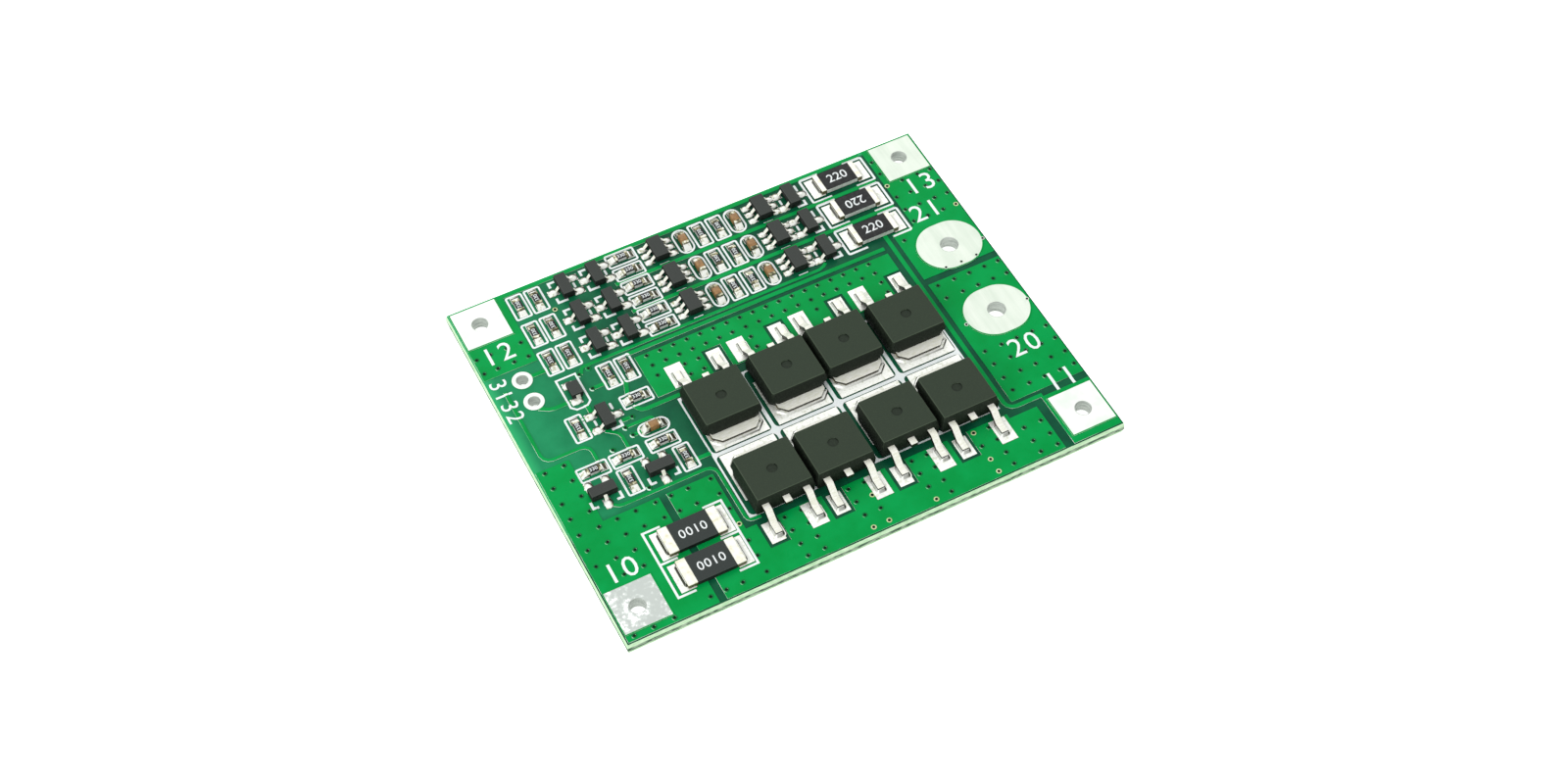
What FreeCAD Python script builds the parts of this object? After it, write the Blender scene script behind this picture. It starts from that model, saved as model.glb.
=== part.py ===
import FreeCAD, Part
import math
import os
import re
import Sketcher

# A battery management board: a glass-fibre laminate with eight plated solder
# terminals, copper pours and tracks, eight power transistors in two rows, two
# shunt resistors and three like channels of small parts.
# Frame: X along the long edge, Y from the front edge to the back edge, Z up.
# The origin is the middle of the underside. All sizes are in millimetres.

V = FreeCAD.Vector
UP = V(0, 0, 1)

doc = FreeCAD.newDocument("battery_board")
sheet = doc.addObject("Spreadsheet::Sheet", "Sizes")

SIZES = {
    # board
    "board_length": 56.0,
    "board_width": 45.0,
    "board_thickness": 1.6,
    "land_foil": 0.10,
    "track_foil": 0.07,
    "score_depth": 0.5,
    "score_draft": 12.0,
    "copper_margin": 0.25,
    # plated terminals
    "corner_pad_length": 5.3,
    "corner_pad_width": 5.35,
    "front_pad_lift": 0.8,
    "corner_bore_radius": 0.9,
    "corner_bore_inset": 2.8,
    "back_pad_lift": 0.0,
    "output_pad_length": 7.5,
    "output_pad_width": 6.45,
    "output_bore_radius": 1.02,
    "output_inset": 4.1,
    "output_plus_y": 6.25,
    "output_minus_y": -3.77,
    "sense_pad_radius": 1.1,
    "sense_bore_radius": 0.67,
    "sense_inset": 3.8,
    "sense_one_lift": 11.55,
    "sense_two_lift": 14.57,
    # power transistors
    "fet_body_length": 6.1,
    "fet_body_width": 6.6,
    "fet_body_height": 2.3,
    "fet_parting_height": 1.15,
    "fet_standoff": 0.06,
    "fet_upper_corner_cut": 0.3,
    "fet_lower_corner_cut": 0.8,
    "fet_draft_up": 13.0,
    "fet_draft_down": 3.0,
    "fet_tab_width": 5.4,
    "fet_tab_reach": 4.1,
    "fet_tab_root": 2.2,
    "fet_tab_cut": 0.8,
    "fet_metal": 0.5,
    "fet_lead_spread": 2.286,
    "fet_lead_width": 0.76,
    "fet_lead_root": 0.5,
    "fet_lead_shoulder": 0.65,
    "fet_lead_drop": 1.15,
    "fet_lead_reach": 6.0,
    "fet_lead_height": 0.9,
    "fet_stub_reach": 0.75,
    "fet_gap": 0.62,
    "fet_middle_x": 3.43,
    "fet_front_inset": 10.5,
    "fet_row_pitch": 10.61,
    "fet_gate_land_width": 1.6,
    "fet_gate_land_length": 2.55,
    "fet_source_land_width": 1.88,
    "fet_source_land_length": 3.0,
    "fet_lead_land_y": 5.5,
    "fet_drain_land_width": 6.2,
    "fet_drain_land_root": 1.0,
    "fet_drain_land_reach": 5.0,
    "gate_clearance": 0.3,
    # shunt resistors
    "shunt_length": 6.4,
    "shunt_width": 3.2,
    "shunt_height": 0.6,
    "shunt_cap": 1.1,
    "shunt_land_start": 2.3,
    "shunt_land_length": 1.7,
    "shunt_land_width": 3.4,
    "shunt_x": -16.84,
    "shunt_inset": 4.52,
    "shunt_pitch": 4.09,
    # balance resistors
    "balance_length": 5.0,
    "balance_width": 2.5,
    "balance_height": 0.6,
    "balance_cap": 0.6,
    "balance_coat": 0.06,
    "balance_land_start": 2.05,
    "balance_land_length": 1.45,
    "balance_land_width": 2.7,
    # small chip resistors and capacitors
    "chip_length": 1.6,
    "chip_width": 0.8,
    "chip_height": 0.45,
    "chip_cap": 0.32,
    "chip_coat": 0.04,
    "chip_lip": 0.02,
    "capacitor_height": 0.75,
    # three-lead and six-lead packages
    "small_body_length": 2.9,
    "small_body_height": 1.1,
    "small_standoff": 0.1,
    "small_draft": 8.0,
    "small_lead_width": 0.4,
    "small_lead_metal": 0.14,
    "small_lead_foot": 0.3,
    "small_lead_height": 0.6,
    "small_pitch": 0.95,
    "trio_body_width": 1.3,
    "trio_lead_reach": 1.25,
    "six_body_width": 1.6,
    "six_lead_reach": 1.5,
    # diode
    "diode_length": 1.8,
    "diode_width": 1.3,
    "diode_height": 0.95,
    "diode_lead_reach": 1.3,
    "diode_lead_width": 0.5,
    # the three like channels along the back edge
    "channel_inset": 2.55,
    "channel_pitch": 4.1,
    "input_resistor_x": -20.64,
    "input_resistor_pitch": 2.06,
    "driver_x": -15.35,
    "driver_pitch": 3.65,
    "ladder_x": -8.23,
    "ladder_pitch": 2.06,
    "guard_chip_x": -4.35,
    "guard_capacitor_x": -1.31,
    "filter_resistor_x": 0.75,
    "filter_resistor_pitch": 2.14,
    "balance_capacitor_x": 4.94,
    "balance_chip_x": 8.14,
    "bleed_switch_x": 11.74,
    "balance_resistor_x": 17.55,
    # copper
    "track_width": 0.5,
    "fine_track_width": 0.4,
    "track_bend": 1.0,
    "pour_gap": 0.8,
    "back_pour_left": -12.73,
    "back_pour_right": 17.42,
    "back_pour_start": 3.85,
    "back_pour_reach": 9.63,
    "plus_pour_left": 21.8,
    "plus_pour_step": 10.2,
    "output_pour_left": 19.1,
    "output_split_y": 2.84,
    "minus_pour_inset": 7.64,
    "cell_one_pour_left": 22.1,
    "cell_one_pour_reach": 6.8,
    "cell_two_pour_right": -21.7,
    "cell_two_pour_reach": 9.9,
    "front_pour_right": 21.1,
    "front_pour_reach": 6.6,
    "front_pour_step_x": 17.9,
    "front_pour_step": 0.6,
    "shunt_pour_split": -17.57,
    "shunt_pour_right": -11.95,
    "shunt_pour_reach": 13.95,
    "battery_pour_right": -24.06,
    "battery_pour_top": -0.3,
    "pour_overlap": 0.1,
}

# how far each soldered power transistor stands off the middle of its lands, along X and along Y
FET_SHIFTS = {
    "fet_one": (-0.10, -0.29),
    "fet_two": (0.33, -0.01),
    "fet_three": (-0.12, 0.23),
    "fet_four": (-0.07, 0.07),
    "fet_five": (0.32, -0.08),
    "fet_six": (-0.07, -0.15),
    "fet_seven": (0.22, 0.20),
    "fet_eight": (-0.12, 0.0),
}
# small parts that belong to no channel, by their distance from the left edge and from the back edge
BACK_GROUP = {
    "sense_one_chip": (12.03, 15.1),
    "sense_two_chip": (14.08, 15.1),
    "timing_chip": (13.3, 19.03),
    "entry_chip": (6.4, 19.78),
    "entry_switch": (9.4, 19.95),
    "blocking_diode": (8.0, 15.45),
}
# and by their distance from the left edge and from the middle line
MIDDLE_GROUP = {
    "limit_one_chip": (5.6, -2.72),
    "limit_two_chip": (9.23, -2.68),
    "limit_three_chip": (13.36, -2.66),
    "gate_one_chip": (8.4, -5.47),
    "gate_two_chip": (14.63, -5.46),
    "gate_one_switch": (5.3, -5.6),
    "gate_two_switch": (11.65, -5.6),
    "timing_capacitor": (13.3, -0.61),
}
# the parts of both groups that aren't turned a quarter, as most are
TURNS = {
    "timing_chip": 0,
    "limit_one_chip": 0,
    "limit_two_chip": 0,
    "limit_three_chip": 0,
    "timing_capacitor": 0,
    "entry_switch": -90,
    "gate_one_switch": 180,
    "gate_two_switch": 180,
}
for places in (FET_SHIFTS, BACK_GROUP, MIDDLE_GROUP):
    for name, (x, y) in places.items():
        SIZES[f"{name}_x"] = x
        SIZES[f"{name}_y"] = y

for row, (alias, value) in enumerate(SIZES.items(), start=1):
    sheet.set(f"A{row}", alias.replace("_", " "))
    sheet.set(f"B{row}", str(value))
    sheet.setAlias(f"B{row}", alias)
doc.recompute()


def size(alias):
    """The value of one driving dimension."""
    return float(sheet.get(alias))


def sized(text):
    """A size expression, with each name in it read from the sheet."""
    return re.sub(r"\b([a-z][a-z_]*)\b", r"Sizes.\1", text)


def bind(item, **sizes):
    """Bind each named property of an item to its size expression."""
    for name, text in sizes.items():
        item.setExpression(name, sized(text))
    return item


def move(item, x="0", y="0", z="0", turn=0):
    """Place an item at a bound position, turned about the vertical by some degrees."""
    item.Placement = FreeCAD.Placement(V(), FreeCAD.Rotation(UP, turn))
    for axis, text in zip("xyz", (x, y, z)):
        item.setExpression(f".Placement.Base.{axis}", sized(text))
    return item


def box(label, left, front, bottom, length, width, height):
    """A block by its lower left front corner and its three sizes."""
    item = doc.addObject("Part::Box", label)
    bind(item, Length=length, Width=width, Height=height)
    return move(item, left, front, bottom)


def centred_box(label, length, width, height, x="0", y="0", bottom="0"):
    """A block centred on a point, standing on a level."""
    return box(
        label,
        f"({x}) - ({length}) / 2",
        f"({y}) - ({width}) / 2",
        bottom,
        length,
        width,
        height,
    )


def rod(label, radius, height, x="0", y="0", bottom="0"):
    """An upright cylinder."""
    item = doc.addObject("Part::Cylinder", label)
    bind(item, Radius=radius, Height=height)
    return move(item, x, y, bottom)


def fused(label, *shapes):
    item = doc.addObject("Part::MultiFuse", label)
    item.Shapes = list(shapes)
    item.Refine = True
    return item


def cut(label, base, tool):
    item = doc.addObject("Part::Cut", label)
    item.Base = base
    item.Tool = tool
    item.Refine = True
    return item


def group(label, members):
    """Separate pieces kept together as one object."""
    item = doc.addObject("Part::Compound", label)
    item.Links = list(members)
    return item


def copy(master, x, y, turn=0, z="board_thickness"):
    """One more of a master piece at a place on the board, at the level of the lands unless told."""
    item = doc.addObject("App::Link", f"{master.Name}_copy")
    item.LinkedObject = master
    return move(item, x, y, z, turn)


def copies(label, master, places, z="board_thickness"):
    return group(label, [copy(master, *place, z=z) for place in places])


def plane(body, role):
    return [item for item in body.Origin.OriginFeatures if item.Role == role][0]


def outline_sketch(body, label, role, corners, lift="0"):
    """A closed sketch of straight edges whose corners are held at bound distances from the origin."""
    sketch = body.newObject("Sketcher::SketchObject", label)
    sketch.AttachmentSupport = [(plane(body, role), "")]
    sketch.MapMode = "FlatFace"
    sketch.setExpression(".AttachmentOffset.Base.z", sized(lift))
    count = len(corners)
    # a first guess of the right shape, which the bound distances then settle
    guess = [V(guessed(x), guessed(y), 0) for x, y in corners]
    for index in range(count):
        sketch.addGeometry(Part.LineSegment(guess[index], guess[(index + 1) % count]), False)
    for index in range(count):
        link = Sketcher.Constraint("Coincident", index, 2, (index + 1) % count, 1)
        sketch.addConstraint(link)
    for index, (x, y) in enumerate(corners):
        for kind, text, coordinate in (("DistanceX", x, guess[index].x), ("DistanceY", y, guess[index].y)):
            number = sketch.addConstraint(Sketcher.Constraint(kind, -1, 1, index, 1, coordinate))
            sketch.setExpression(f"Constraints[{number}]", sized(text))
    return sketch


def guessed(text):
    """The present value of a size expression, worked out by the sheet itself."""
    sheet.set("D1", "=" + text)
    sheet.recompute()
    return float(sheet.get("D1"))


def pad(body, sketch, length, reversed_side=False, draft=None, middle=False):
    item = body.newObject("PartDesign::Pad", f"{sketch.Name}_pad")
    item.Profile = sketch
    item.Reversed = reversed_side
    item.Midplane = middle
    bind(item, Length=length)
    if draft:
        bind(item, TaperAngle=f"-1 * {draft}")
    body.Tip = item
    return item


def prism(label, role, corners, length, lift="0", middle=False):
    """One sketched outline given a length."""
    body = doc.addObject("PartDesign::Body", label)
    sketch = outline_sketch(body, f"{label}_outline", role, corners, lift)
    pad(body, sketch, length, middle=middle)
    return body


def rectangle(length, width):
    """The corners of a centred rectangle."""
    return [
        (f"-1 * ({length}) / 2", f"-1 * ({width}) / 2"),
        (f"({length}) / 2", f"-1 * ({width}) / 2"),
        (f"({length}) / 2", f"({width}) / 2"),
        (f"-1 * ({length}) / 2", f"({width}) / 2"),
    ]


def moulded(label, upper_corners, lower_corners, bottom, parting, top, draft_up, draft_down):
    """A moulded case: an outline for each half of the mould, drafted inwards from the parting line."""
    body = doc.addObject("PartDesign::Body", label)
    upper = outline_sketch(body, f"{label}_upper", "XY_Plane", upper_corners, parting)
    pad(body, upper, f"{top} - ({parting})", draft=draft_up)
    lower = outline_sketch(body, f"{label}_lower", "XY_Plane", lower_corners, parting)
    pad(body, lower, f"{parting} - ({bottom})", reversed_side=True, draft=draft_down)
    return body


# Laminate, with the scored edges that are left where boards are snapped apart

LAMINATE_TOP = "board_thickness - land_foil"


def corner_lift(side_y):
    """How much further from its edge a corner terminal stands than it needs to."""
    return "front_pad_lift" if side_y < 0 else "back_pad_lift"


def corner_place(side_x, side_y):
    """The bore of a corner terminal, at like distances from both edges."""
    return (
        f"{side_x} * (board_length / 2 - corner_bore_inset)",
        f"{side_y} * (board_width / 2 - corner_bore_inset - {corner_lift(side_y)})",
    )


CORNERS = {
    "terminal_cell_minus": (-1, -1),
    "terminal_cell_one": (1, -1),
    "terminal_cell_two": (-1, 1),
    "terminal_cell_plus": (1, 1),
}
OUTPUTS = {
    "terminal_output_plus": "output_plus_y",
    "terminal_output_minus": "output_minus_y",
}
SENSES = {
    "terminal_sense_one": "board_width / 2 - sense_one_lift",
    "terminal_sense_two": "board_width / 2 - sense_two_lift",
}
OUTPUT_X = "board_length / 2 - output_inset"
SENSE_X = "sense_inset - board_length / 2"


def laminate():
    """A middle band where the web was snapped, with a drafted slope above and below it."""
    blank = doc.addObject("PartDesign::Body", "laminate_blank")
    corners = rectangle("board_length", "board_width")
    band_low = "score_depth"
    band_high = f"{LAMINATE_TOP} - score_depth"
    band = outline_sketch(blank, "laminate_band", "XY_Plane", corners, band_low)
    pad(blank, band, f"{band_high} - ({band_low})")
    upper = outline_sketch(blank, "laminate_upper", "XY_Plane", corners, band_high)
    pad(blank, upper, "score_depth", draft="score_draft")
    lower = outline_sketch(blank, "laminate_lower", "XY_Plane", corners, band_low)
    pad(blank, lower, "score_depth", reversed_side=True, draft="score_draft")
    return blank


def drills():
    """One rod for each bore, right through the board."""
    bores = [("corner_bore_radius", *corner_place(*sides)) for sides in CORNERS.values()]
    bores += [("output_bore_radius", OUTPUT_X, y) for y in OUTPUTS.values()]
    bores += [("sense_bore_radius", SENSE_X, y) for y in SENSES.values()]
    return group("drills", [rod("drill", radius, "board_thickness", x, y) for radius, x, y in bores])


# Terminals: a tinned pad round each bore


def corner_terminal(label, side_x, side_y):
    return centred_box(
        f"{label}_pad",
        "corner_pad_length",
        "corner_pad_width",
        "land_foil",
        f"{side_x} * (board_length / 2 - copper_margin - corner_pad_length / 2)",
        f"{side_y} * (board_width / 2 - copper_margin - {corner_lift(side_y)} - corner_pad_width / 2)",
        LAMINATE_TOP,
    )


def output_terminal(label, y):
    straight = "(output_pad_length - output_pad_width)"
    ends = [
        rod(
            f"{label}_end",
            "output_pad_width / 2",
            "land_foil",
            f"{OUTPUT_X} + {side} * {straight} / 2",
            y,
            LAMINATE_TOP,
        )
        for side in (-1, 1)
    ]
    width, height = "output_pad_width", "land_foil"
    middle = centred_box(f"{label}_middle", straight, width, height, OUTPUT_X, y, LAMINATE_TOP)
    return fused(f"{label}_pad", middle, *ends)


def sense_terminal(label, y):
    return rod(f"{label}_pad", "sense_pad_radius", "land_foil", SENSE_X, y, LAMINATE_TOP)


all_drills = drills()
pads = {label: corner_terminal(label, *sides) for label, sides in CORNERS.items()}
pads |= {label: output_terminal(label, y) for label, y in OUTPUTS.items()}
pads |= {label: sense_terminal(label, y) for label, y in SENSES.items()}
terminals = [cut(label, blank, all_drills) for label, blank in pads.items()]
board = cut("laminate", laminate(), all_drills)

# Master pieces. Each has its middle at the origin and stands on the level of the lands.


def land(label, length, width, x="0", y="0"):
    return centred_box(label, length, width, "land_foil", x, y, "-1 * land_foil")


def end_lands(name):
    """The two lands of a two-ended part, from where they start under it."""
    start, length, width = f"{name}_land_start", f"{name}_land_length", f"{name}_land_width"
    lands = [land(f"{name}_land", length, width, f"{side} * ({start} + {length} / 2)") for side in (-1, 1)]
    return group(f"{name}_lands", lands)


def end_caps(name, length, width, height, cap, lip="0"):
    """The two tinned ends of a chip part."""
    caps = []
    for side in (-1, 1):
        middle = f"{side} * ({length} - {cap}) / 2"
        caps.append(centred_box(f"{name}_cap", cap, width, f"{height} + {lip}", middle))
    return group(f"{name}_caps", caps)


def chip_core(name, length, width, height, cap, coat="0"):
    """The body between the two ends, under its coat."""
    block = centred_box(f"{name}_block", f"{length} - 2 * {cap}", width, f"{height} - {coat}")
    return group(f"{name}_core", [block])


def chip_coat(name, length, width, height, cap, coat):
    """The glaze on top of the body."""
    film = centred_box(f"{name}_film", f"{length} - 2 * {cap}", width, coat, bottom=f"{height} - {coat}")
    return group(f"{name}_coat", [film])


def small_lead(label, role, lift, side, case_half, reach, width):
    """A small formed lead that slopes from the face of the case down to its foot."""
    out = f"{side} * "
    metal = "small_lead_metal"
    corners = [
        (f"{out}({case_half})", "small_lead_height"),
        (f"{out}({reach} - small_lead_foot)", "0"),
        (f"{out}({reach})", "0"),
        (f"{out}({reach})", metal),
        (f"{out}({reach} - small_lead_foot + {metal})", metal),
        (f"{out}({case_half})", f"small_lead_height + {metal}"),
    ]
    return prism(label, role, corners, width, lift=lift, middle=True)


# Power transistor: a moulded case round a lead frame, whose tab is its cooling face

FET_HALF = "fet_body_length / 2"


def fet_tab():
    """The cooling tab, with its two outer corners cut off."""
    half = "fet_tab_width / 2"
    corners = [
        (f"-1 * {half}", "-1 * fet_tab_root"),
        (half, "-1 * fet_tab_root"),
        (half, "fet_tab_reach - fet_tab_cut"),
        (f"{half} - fet_tab_cut", "fet_tab_reach"),
        (f"fet_tab_cut - {half}", "fet_tab_reach"),
        (f"-1 * {half}", "fet_tab_reach - fet_tab_cut"),
    ]
    return prism("fet_tab", "XY_Plane", corners, "fet_metal")


def fet_lead(label, side):
    """A formed lead: out of the case, down a slope and flat along its foot."""
    root = f"fet_lead_root - {FET_HALF}"
    drop_start = f"-1 * ({FET_HALF} + fet_lead_shoulder)"
    drop_end = f"{drop_start} - fet_lead_drop"
    corners = [
        (root, "fet_lead_height"),
        (f"{drop_start} + fet_metal / 3", "fet_lead_height"),
        (f"{drop_end} + fet_metal / 3", "0"),
        ("-1 * fet_lead_reach", "0"),
        ("-1 * fet_lead_reach", "fet_metal"),
        (drop_end, "fet_metal"),
        (drop_start, "fet_lead_height + fet_metal"),
        (root, "fet_lead_height + fet_metal"),
    ]
    return prism(label, "YZ_Plane", corners, "fet_lead_width", f"{side} * fet_lead_spread", middle=True)


def fet_frame():
    stub = box(
        "fet_stub",
        "-1 * fet_lead_width / 2",
        f"-1 * {FET_HALF} - fet_stub_reach",
        "fet_lead_height",
        "fet_lead_width",
        "fet_stub_reach + fet_lead_root",
        "fet_metal",
    )
    leads = [fet_lead("fet_gate_lead", -1), fet_lead("fet_source_lead", 1)]
    return group("fet_frame", [fet_tab(), *leads, stub])


def fet_outline(corner_cut):
    """The outline of the case, with the two corners at the tab cut off."""
    side = "fet_body_width / 2"
    return [
        (f"-1 * {side}", f"-1 * {FET_HALF}"),
        (side, f"-1 * {FET_HALF}"),
        (side, f"{FET_HALF} - {corner_cut}"),
        (f"{side} - {corner_cut}", FET_HALF),
        (f"{corner_cut} - {side}", FET_HALF),
        (f"-1 * {side}", f"{FET_HALF} - {corner_cut}"),
    ]


def fet_case(frame):
    mould = moulded(
        "fet_mould",
        fet_outline("fet_upper_corner_cut"),
        fet_outline("fet_lower_corner_cut"),
        "fet_standoff",
        "fet_parting_height",
        "fet_body_height",
        "fet_draft_up",
        "fet_draft_down",
    )
    return cut("fet_case", mould, frame)


def fet_lands():
    lands = []
    for name, side in (("gate", -1), ("source", 1)):
        prefix = f"fet_{name}_land"
        x = f"{side} * fet_lead_spread"
        lands.append(land(prefix, f"{prefix}_width", f"{prefix}_length", x, "-1 * fet_lead_land_y"))
    drain_length = "fet_drain_land_reach + fet_drain_land_root"
    drain_y = "(fet_drain_land_reach - fet_drain_land_root) / 2"
    lands.append(land("fet_drain_land", "fet_drain_land_width", drain_length, y=drain_y))
    return group("fet_lands", lands)


# Small packages with three and six leads, which leave the case at its parting line

SMALL_PARTING = "small_lead_height + small_lead_metal / 2"


def small_case(label, width):
    outline = rectangle("small_body_length", width)
    return moulded(
        label,
        outline,
        outline,
        "small_standoff",
        SMALL_PARTING,
        "small_body_height",
        "small_draft",
        "small_draft",
    )


def package(name, places):
    """A case with a lead at each place, given as a distance along the case and a side of it."""
    width = f"{name}_body_width"
    sizes = (f"{width} / 2", f"{name}_lead_reach", "small_lead_width")
    leads = [small_lead(f"{name}_lead", "YZ_Plane", x, side, *sizes) for x, side in places]
    return small_case(f"{name}_case", width), group(f"{name}_leads", leads)


def diode():
    sizes = ("diode_length / 2", "diode_lead_reach", "diode_lead_width")
    leads = [small_lead("diode_lead", "XZ_Plane", "0", side, *sizes) for side in (-1, 1)]
    outline = rectangle("diode_length", "diode_width")
    case = moulded(
        "diode_case",
        outline,
        outline,
        "small_standoff",
        SMALL_PARTING,
        "diode_height",
        "small_draft",
        "small_draft",
    )
    return case, group("diode_lead_pair", leads)


fet_metal_frame = fet_frame()
fet_body = fet_case(fet_metal_frame)
fet_land_set = fet_lands()
trio_body, trio_frame = package("trio", [("-1 * small_pitch", -1), ("small_pitch", -1), ("0", 1)])
six_body, six_frame = package(
    "six", [(f"{column} * small_pitch", side) for column in (-1, 0, 1) for side in (-1, 1)]
)
diode_body, diode_frame = diode()

# Places on the board, each as x, y and a turn about the vertical

CHANNELS = [f"board_width / 2 - channel_inset - {number} * channel_pitch" for number in range(3)]


def in_channels(x, turn=0, shift="0"):
    return [(x, f"{y} + {shift}", turn) for y in CHANNELS]


def in_groups(kind):
    """The places of the parts of one kind that belong to no channel."""
    places = []
    for name in [*BACK_GROUP, *MIDDLE_GROUP]:
        if name.endswith(kind):
            y = f"board_width / 2 - {name}_y" if name in BACK_GROUP else f"{name}_y"
            places.append((f"{name}_x - board_length / 2", y, TURNS.get(name, 90)))
    return places


chip_places = []
for step in (0, 1):
    chip_places += in_channels(f"input_resistor_x + {step} * input_resistor_pitch", 90)
    chip_places += in_channels(f"filter_resistor_x + {step} * filter_resistor_pitch", 90)
for side in (-1, 1):
    chip_places += in_channels("ladder_x", 0, f"{side} * ladder_pitch / 2")
chip_places += in_groups("chip")
capacitor_places = in_channels("guard_capacitor_x", 90) + in_channels("balance_capacitor_x", 90)
capacitor_places += in_groups("capacitor")
trio_places = in_channels("driver_x", 90) + in_channels("driver_x + driver_pitch", 90)
trio_places += in_channels("bleed_switch_x", -90) + in_groups("switch")
balance_places = in_channels("balance_resistor_x")
shunt_rows = [f"shunt_inset + {number} * shunt_pitch - board_width / 2" for number in (1, 0)]
shunt_places = [("shunt_x", y, 0) for y in shunt_rows]

FRONT_ROW = "fet_front_inset - board_width / 2"
BACK_ROW = f"{FRONT_ROW} + fet_row_pitch"
fet_columns = [f"fet_middle_x + {steps} * (fet_body_width + fet_gap)" for steps in (-1.5, -0.5, 0.5, 1.5)]
fet_land_places = [(x, y, turn) for y, turn in ((BACK_ROW, 180), (FRONT_ROW, 0)) for x in fet_columns]
fet_places = [
    (f"{x} + {name}_x", f"{y} + {name}_y", turn) for name, (x, y, turn) in zip(FET_SHIFTS, fet_land_places)
]

# Sub-parts

parts = [board] + terminals

for number, place in enumerate(fet_places, start=1):
    parts.append(copies(f"power_transistor_{number}_case", fet_body, [place]))
    parts.append(copies(f"power_transistor_{number}_frame", fet_metal_frame, [place]))

shunt_sizes = ("shunt_length", "shunt_width", "shunt_height", "shunt_cap")
shunt_core = chip_core("shunt", *shunt_sizes)
shunt_caps = end_caps("shunt", *shunt_sizes)
for number, place in enumerate(shunt_places, start=1):
    parts.append(copies(f"shunt_resistor_{number}_body", shunt_core, [place]))
    parts.append(copies(f"shunt_resistor_{number}_ends", shunt_caps, [place]))

balance_sizes = ("balance_length", "balance_width", "balance_height", "balance_cap")
balance_core = chip_core("balance", *balance_sizes, "balance_coat")
balance_coat = chip_coat("balance", *balance_sizes, "balance_coat")
balance_caps = end_caps("balance", *balance_sizes)
parts.append(copies("balance_resistor_cores", balance_core, balance_places))
parts.append(copies("balance_resistor_coats", balance_coat, balance_places))
parts.append(copies("balance_resistor_ends", balance_caps, balance_places))

# the small parts stand on the laminate itself, on lands too thin to be solids of their own

for name, x in (("guard", "guard_chip_x"), ("balance", "balance_chip_x")):
    for number, place in enumerate(in_channels(x, 90), start=1):
        parts.append(copies(f"{name}_chip_{number}_case", six_body, [place], LAMINATE_TOP))
        parts.append(copies(f"{name}_chip_{number}_leads", six_frame, [place], LAMINATE_TOP))

chip_sizes = ("chip_length", "chip_width", "chip_height", "chip_cap")
capacitor_sizes = ("chip_length", "chip_width", "capacitor_height", "chip_cap")
small_parts = [
    ("small_transistor_cases", trio_body, trio_places),
    ("small_transistor_leads", trio_frame, trio_places),
    ("chip_resistor_cores", chip_core("chip", *chip_sizes, "chip_coat"), chip_places),
    ("chip_resistor_coats", chip_coat("chip", *chip_sizes, "chip_coat"), chip_places),
    ("chip_resistor_ends", end_caps("chip", *chip_sizes, "chip_lip"), chip_places),
    ("capacitor_bodies", chip_core("capacitor", *capacitor_sizes), capacitor_places),
    ("capacitor_ends", end_caps("capacitor", *capacitor_sizes, "chip_lip"), capacitor_places),
    ("diode_body", diode_body, in_groups("diode")),
    ("diode_leads", diode_frame, in_groups("diode")),
]
for label, master, places in small_parts:
    parts.append(copies(label, master, places, LAMINATE_TOP))

land_sets = [
    (fet_land_set, fet_land_places),
    (end_lands("shunt"), shunt_places),
    (end_lands("balance"), balance_places),
]
lands = group("component_lands", [copy(master, *place) for master, places in land_sets for place in places])
parts.append(lands)

# Copper under the solder mask: pours and tracks, cut clear of the lands and terminals that they meet

RIGHT_EDGE = "board_length / 2 - copper_margin"
BACK_EDGE = "board_width / 2 - copper_margin"
BEND_STEP = math.radians(30)


def pour(label, left, front, right, back):
    """One rectangle of copper by its four edges."""
    length = f"({right}) - ({left})"
    width = f"({back}) - ({front})"
    return box(label, left, front, LAMINATE_TOP, length, width, "track_foil")


def track(label, route, width):
    """A copper track along a route of straight runs, turned in a few short steps at each corner."""
    half = size(width) / 2
    points = [V(x, y, 0) for x, y in route]
    middle_line = [(points[0], (points[1] - points[0]).normalize())]
    for before, here, after in zip(points, points[1:], points[2:]):
        way_in = (here - before).normalize()
        way_out = (after - here).normalize()
        turn = math.atan2(way_in.cross(way_out).z, way_in.dot(way_out))
        hand = math.copysign(1, turn)
        shortest = min((here - before).Length, (after - here).Length)
        radius = min(size("track_bend"), 0.45 * shortest / math.tan(abs(turn) / 2))
        first = here - way_in * radius * math.tan(abs(turn) / 2)
        centre = first + across(way_in) * radius * hand
        steps = max(1, round(abs(turn) / BEND_STEP))
        for step in range(steps + 1):
            way = FreeCAD.Rotation(UP, math.degrees(turn * step / steps)).multVec(way_in)
            middle_line.append((centre - across(way) * radius * hand, way))
    middle_line.append((points[-1], (points[-1] - points[-2]).normalize()))
    left = [here + across(way) * half for here, way in middle_line]
    right = [here - across(way) * half for here, way in middle_line]
    outline = left + right[::-1]
    item = doc.addObject("Part::Feature", label)
    face = Part.Face(Part.makePolygon(outline + outline[:1]))
    item.Shape = face.extrude(V(0, 0, size("track_foil")))
    return move(item, z=LAMINATE_TOP)


def across(way):
    """The level direction to the left of a way."""
    return V(-way.y, way.x, 0)


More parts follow.
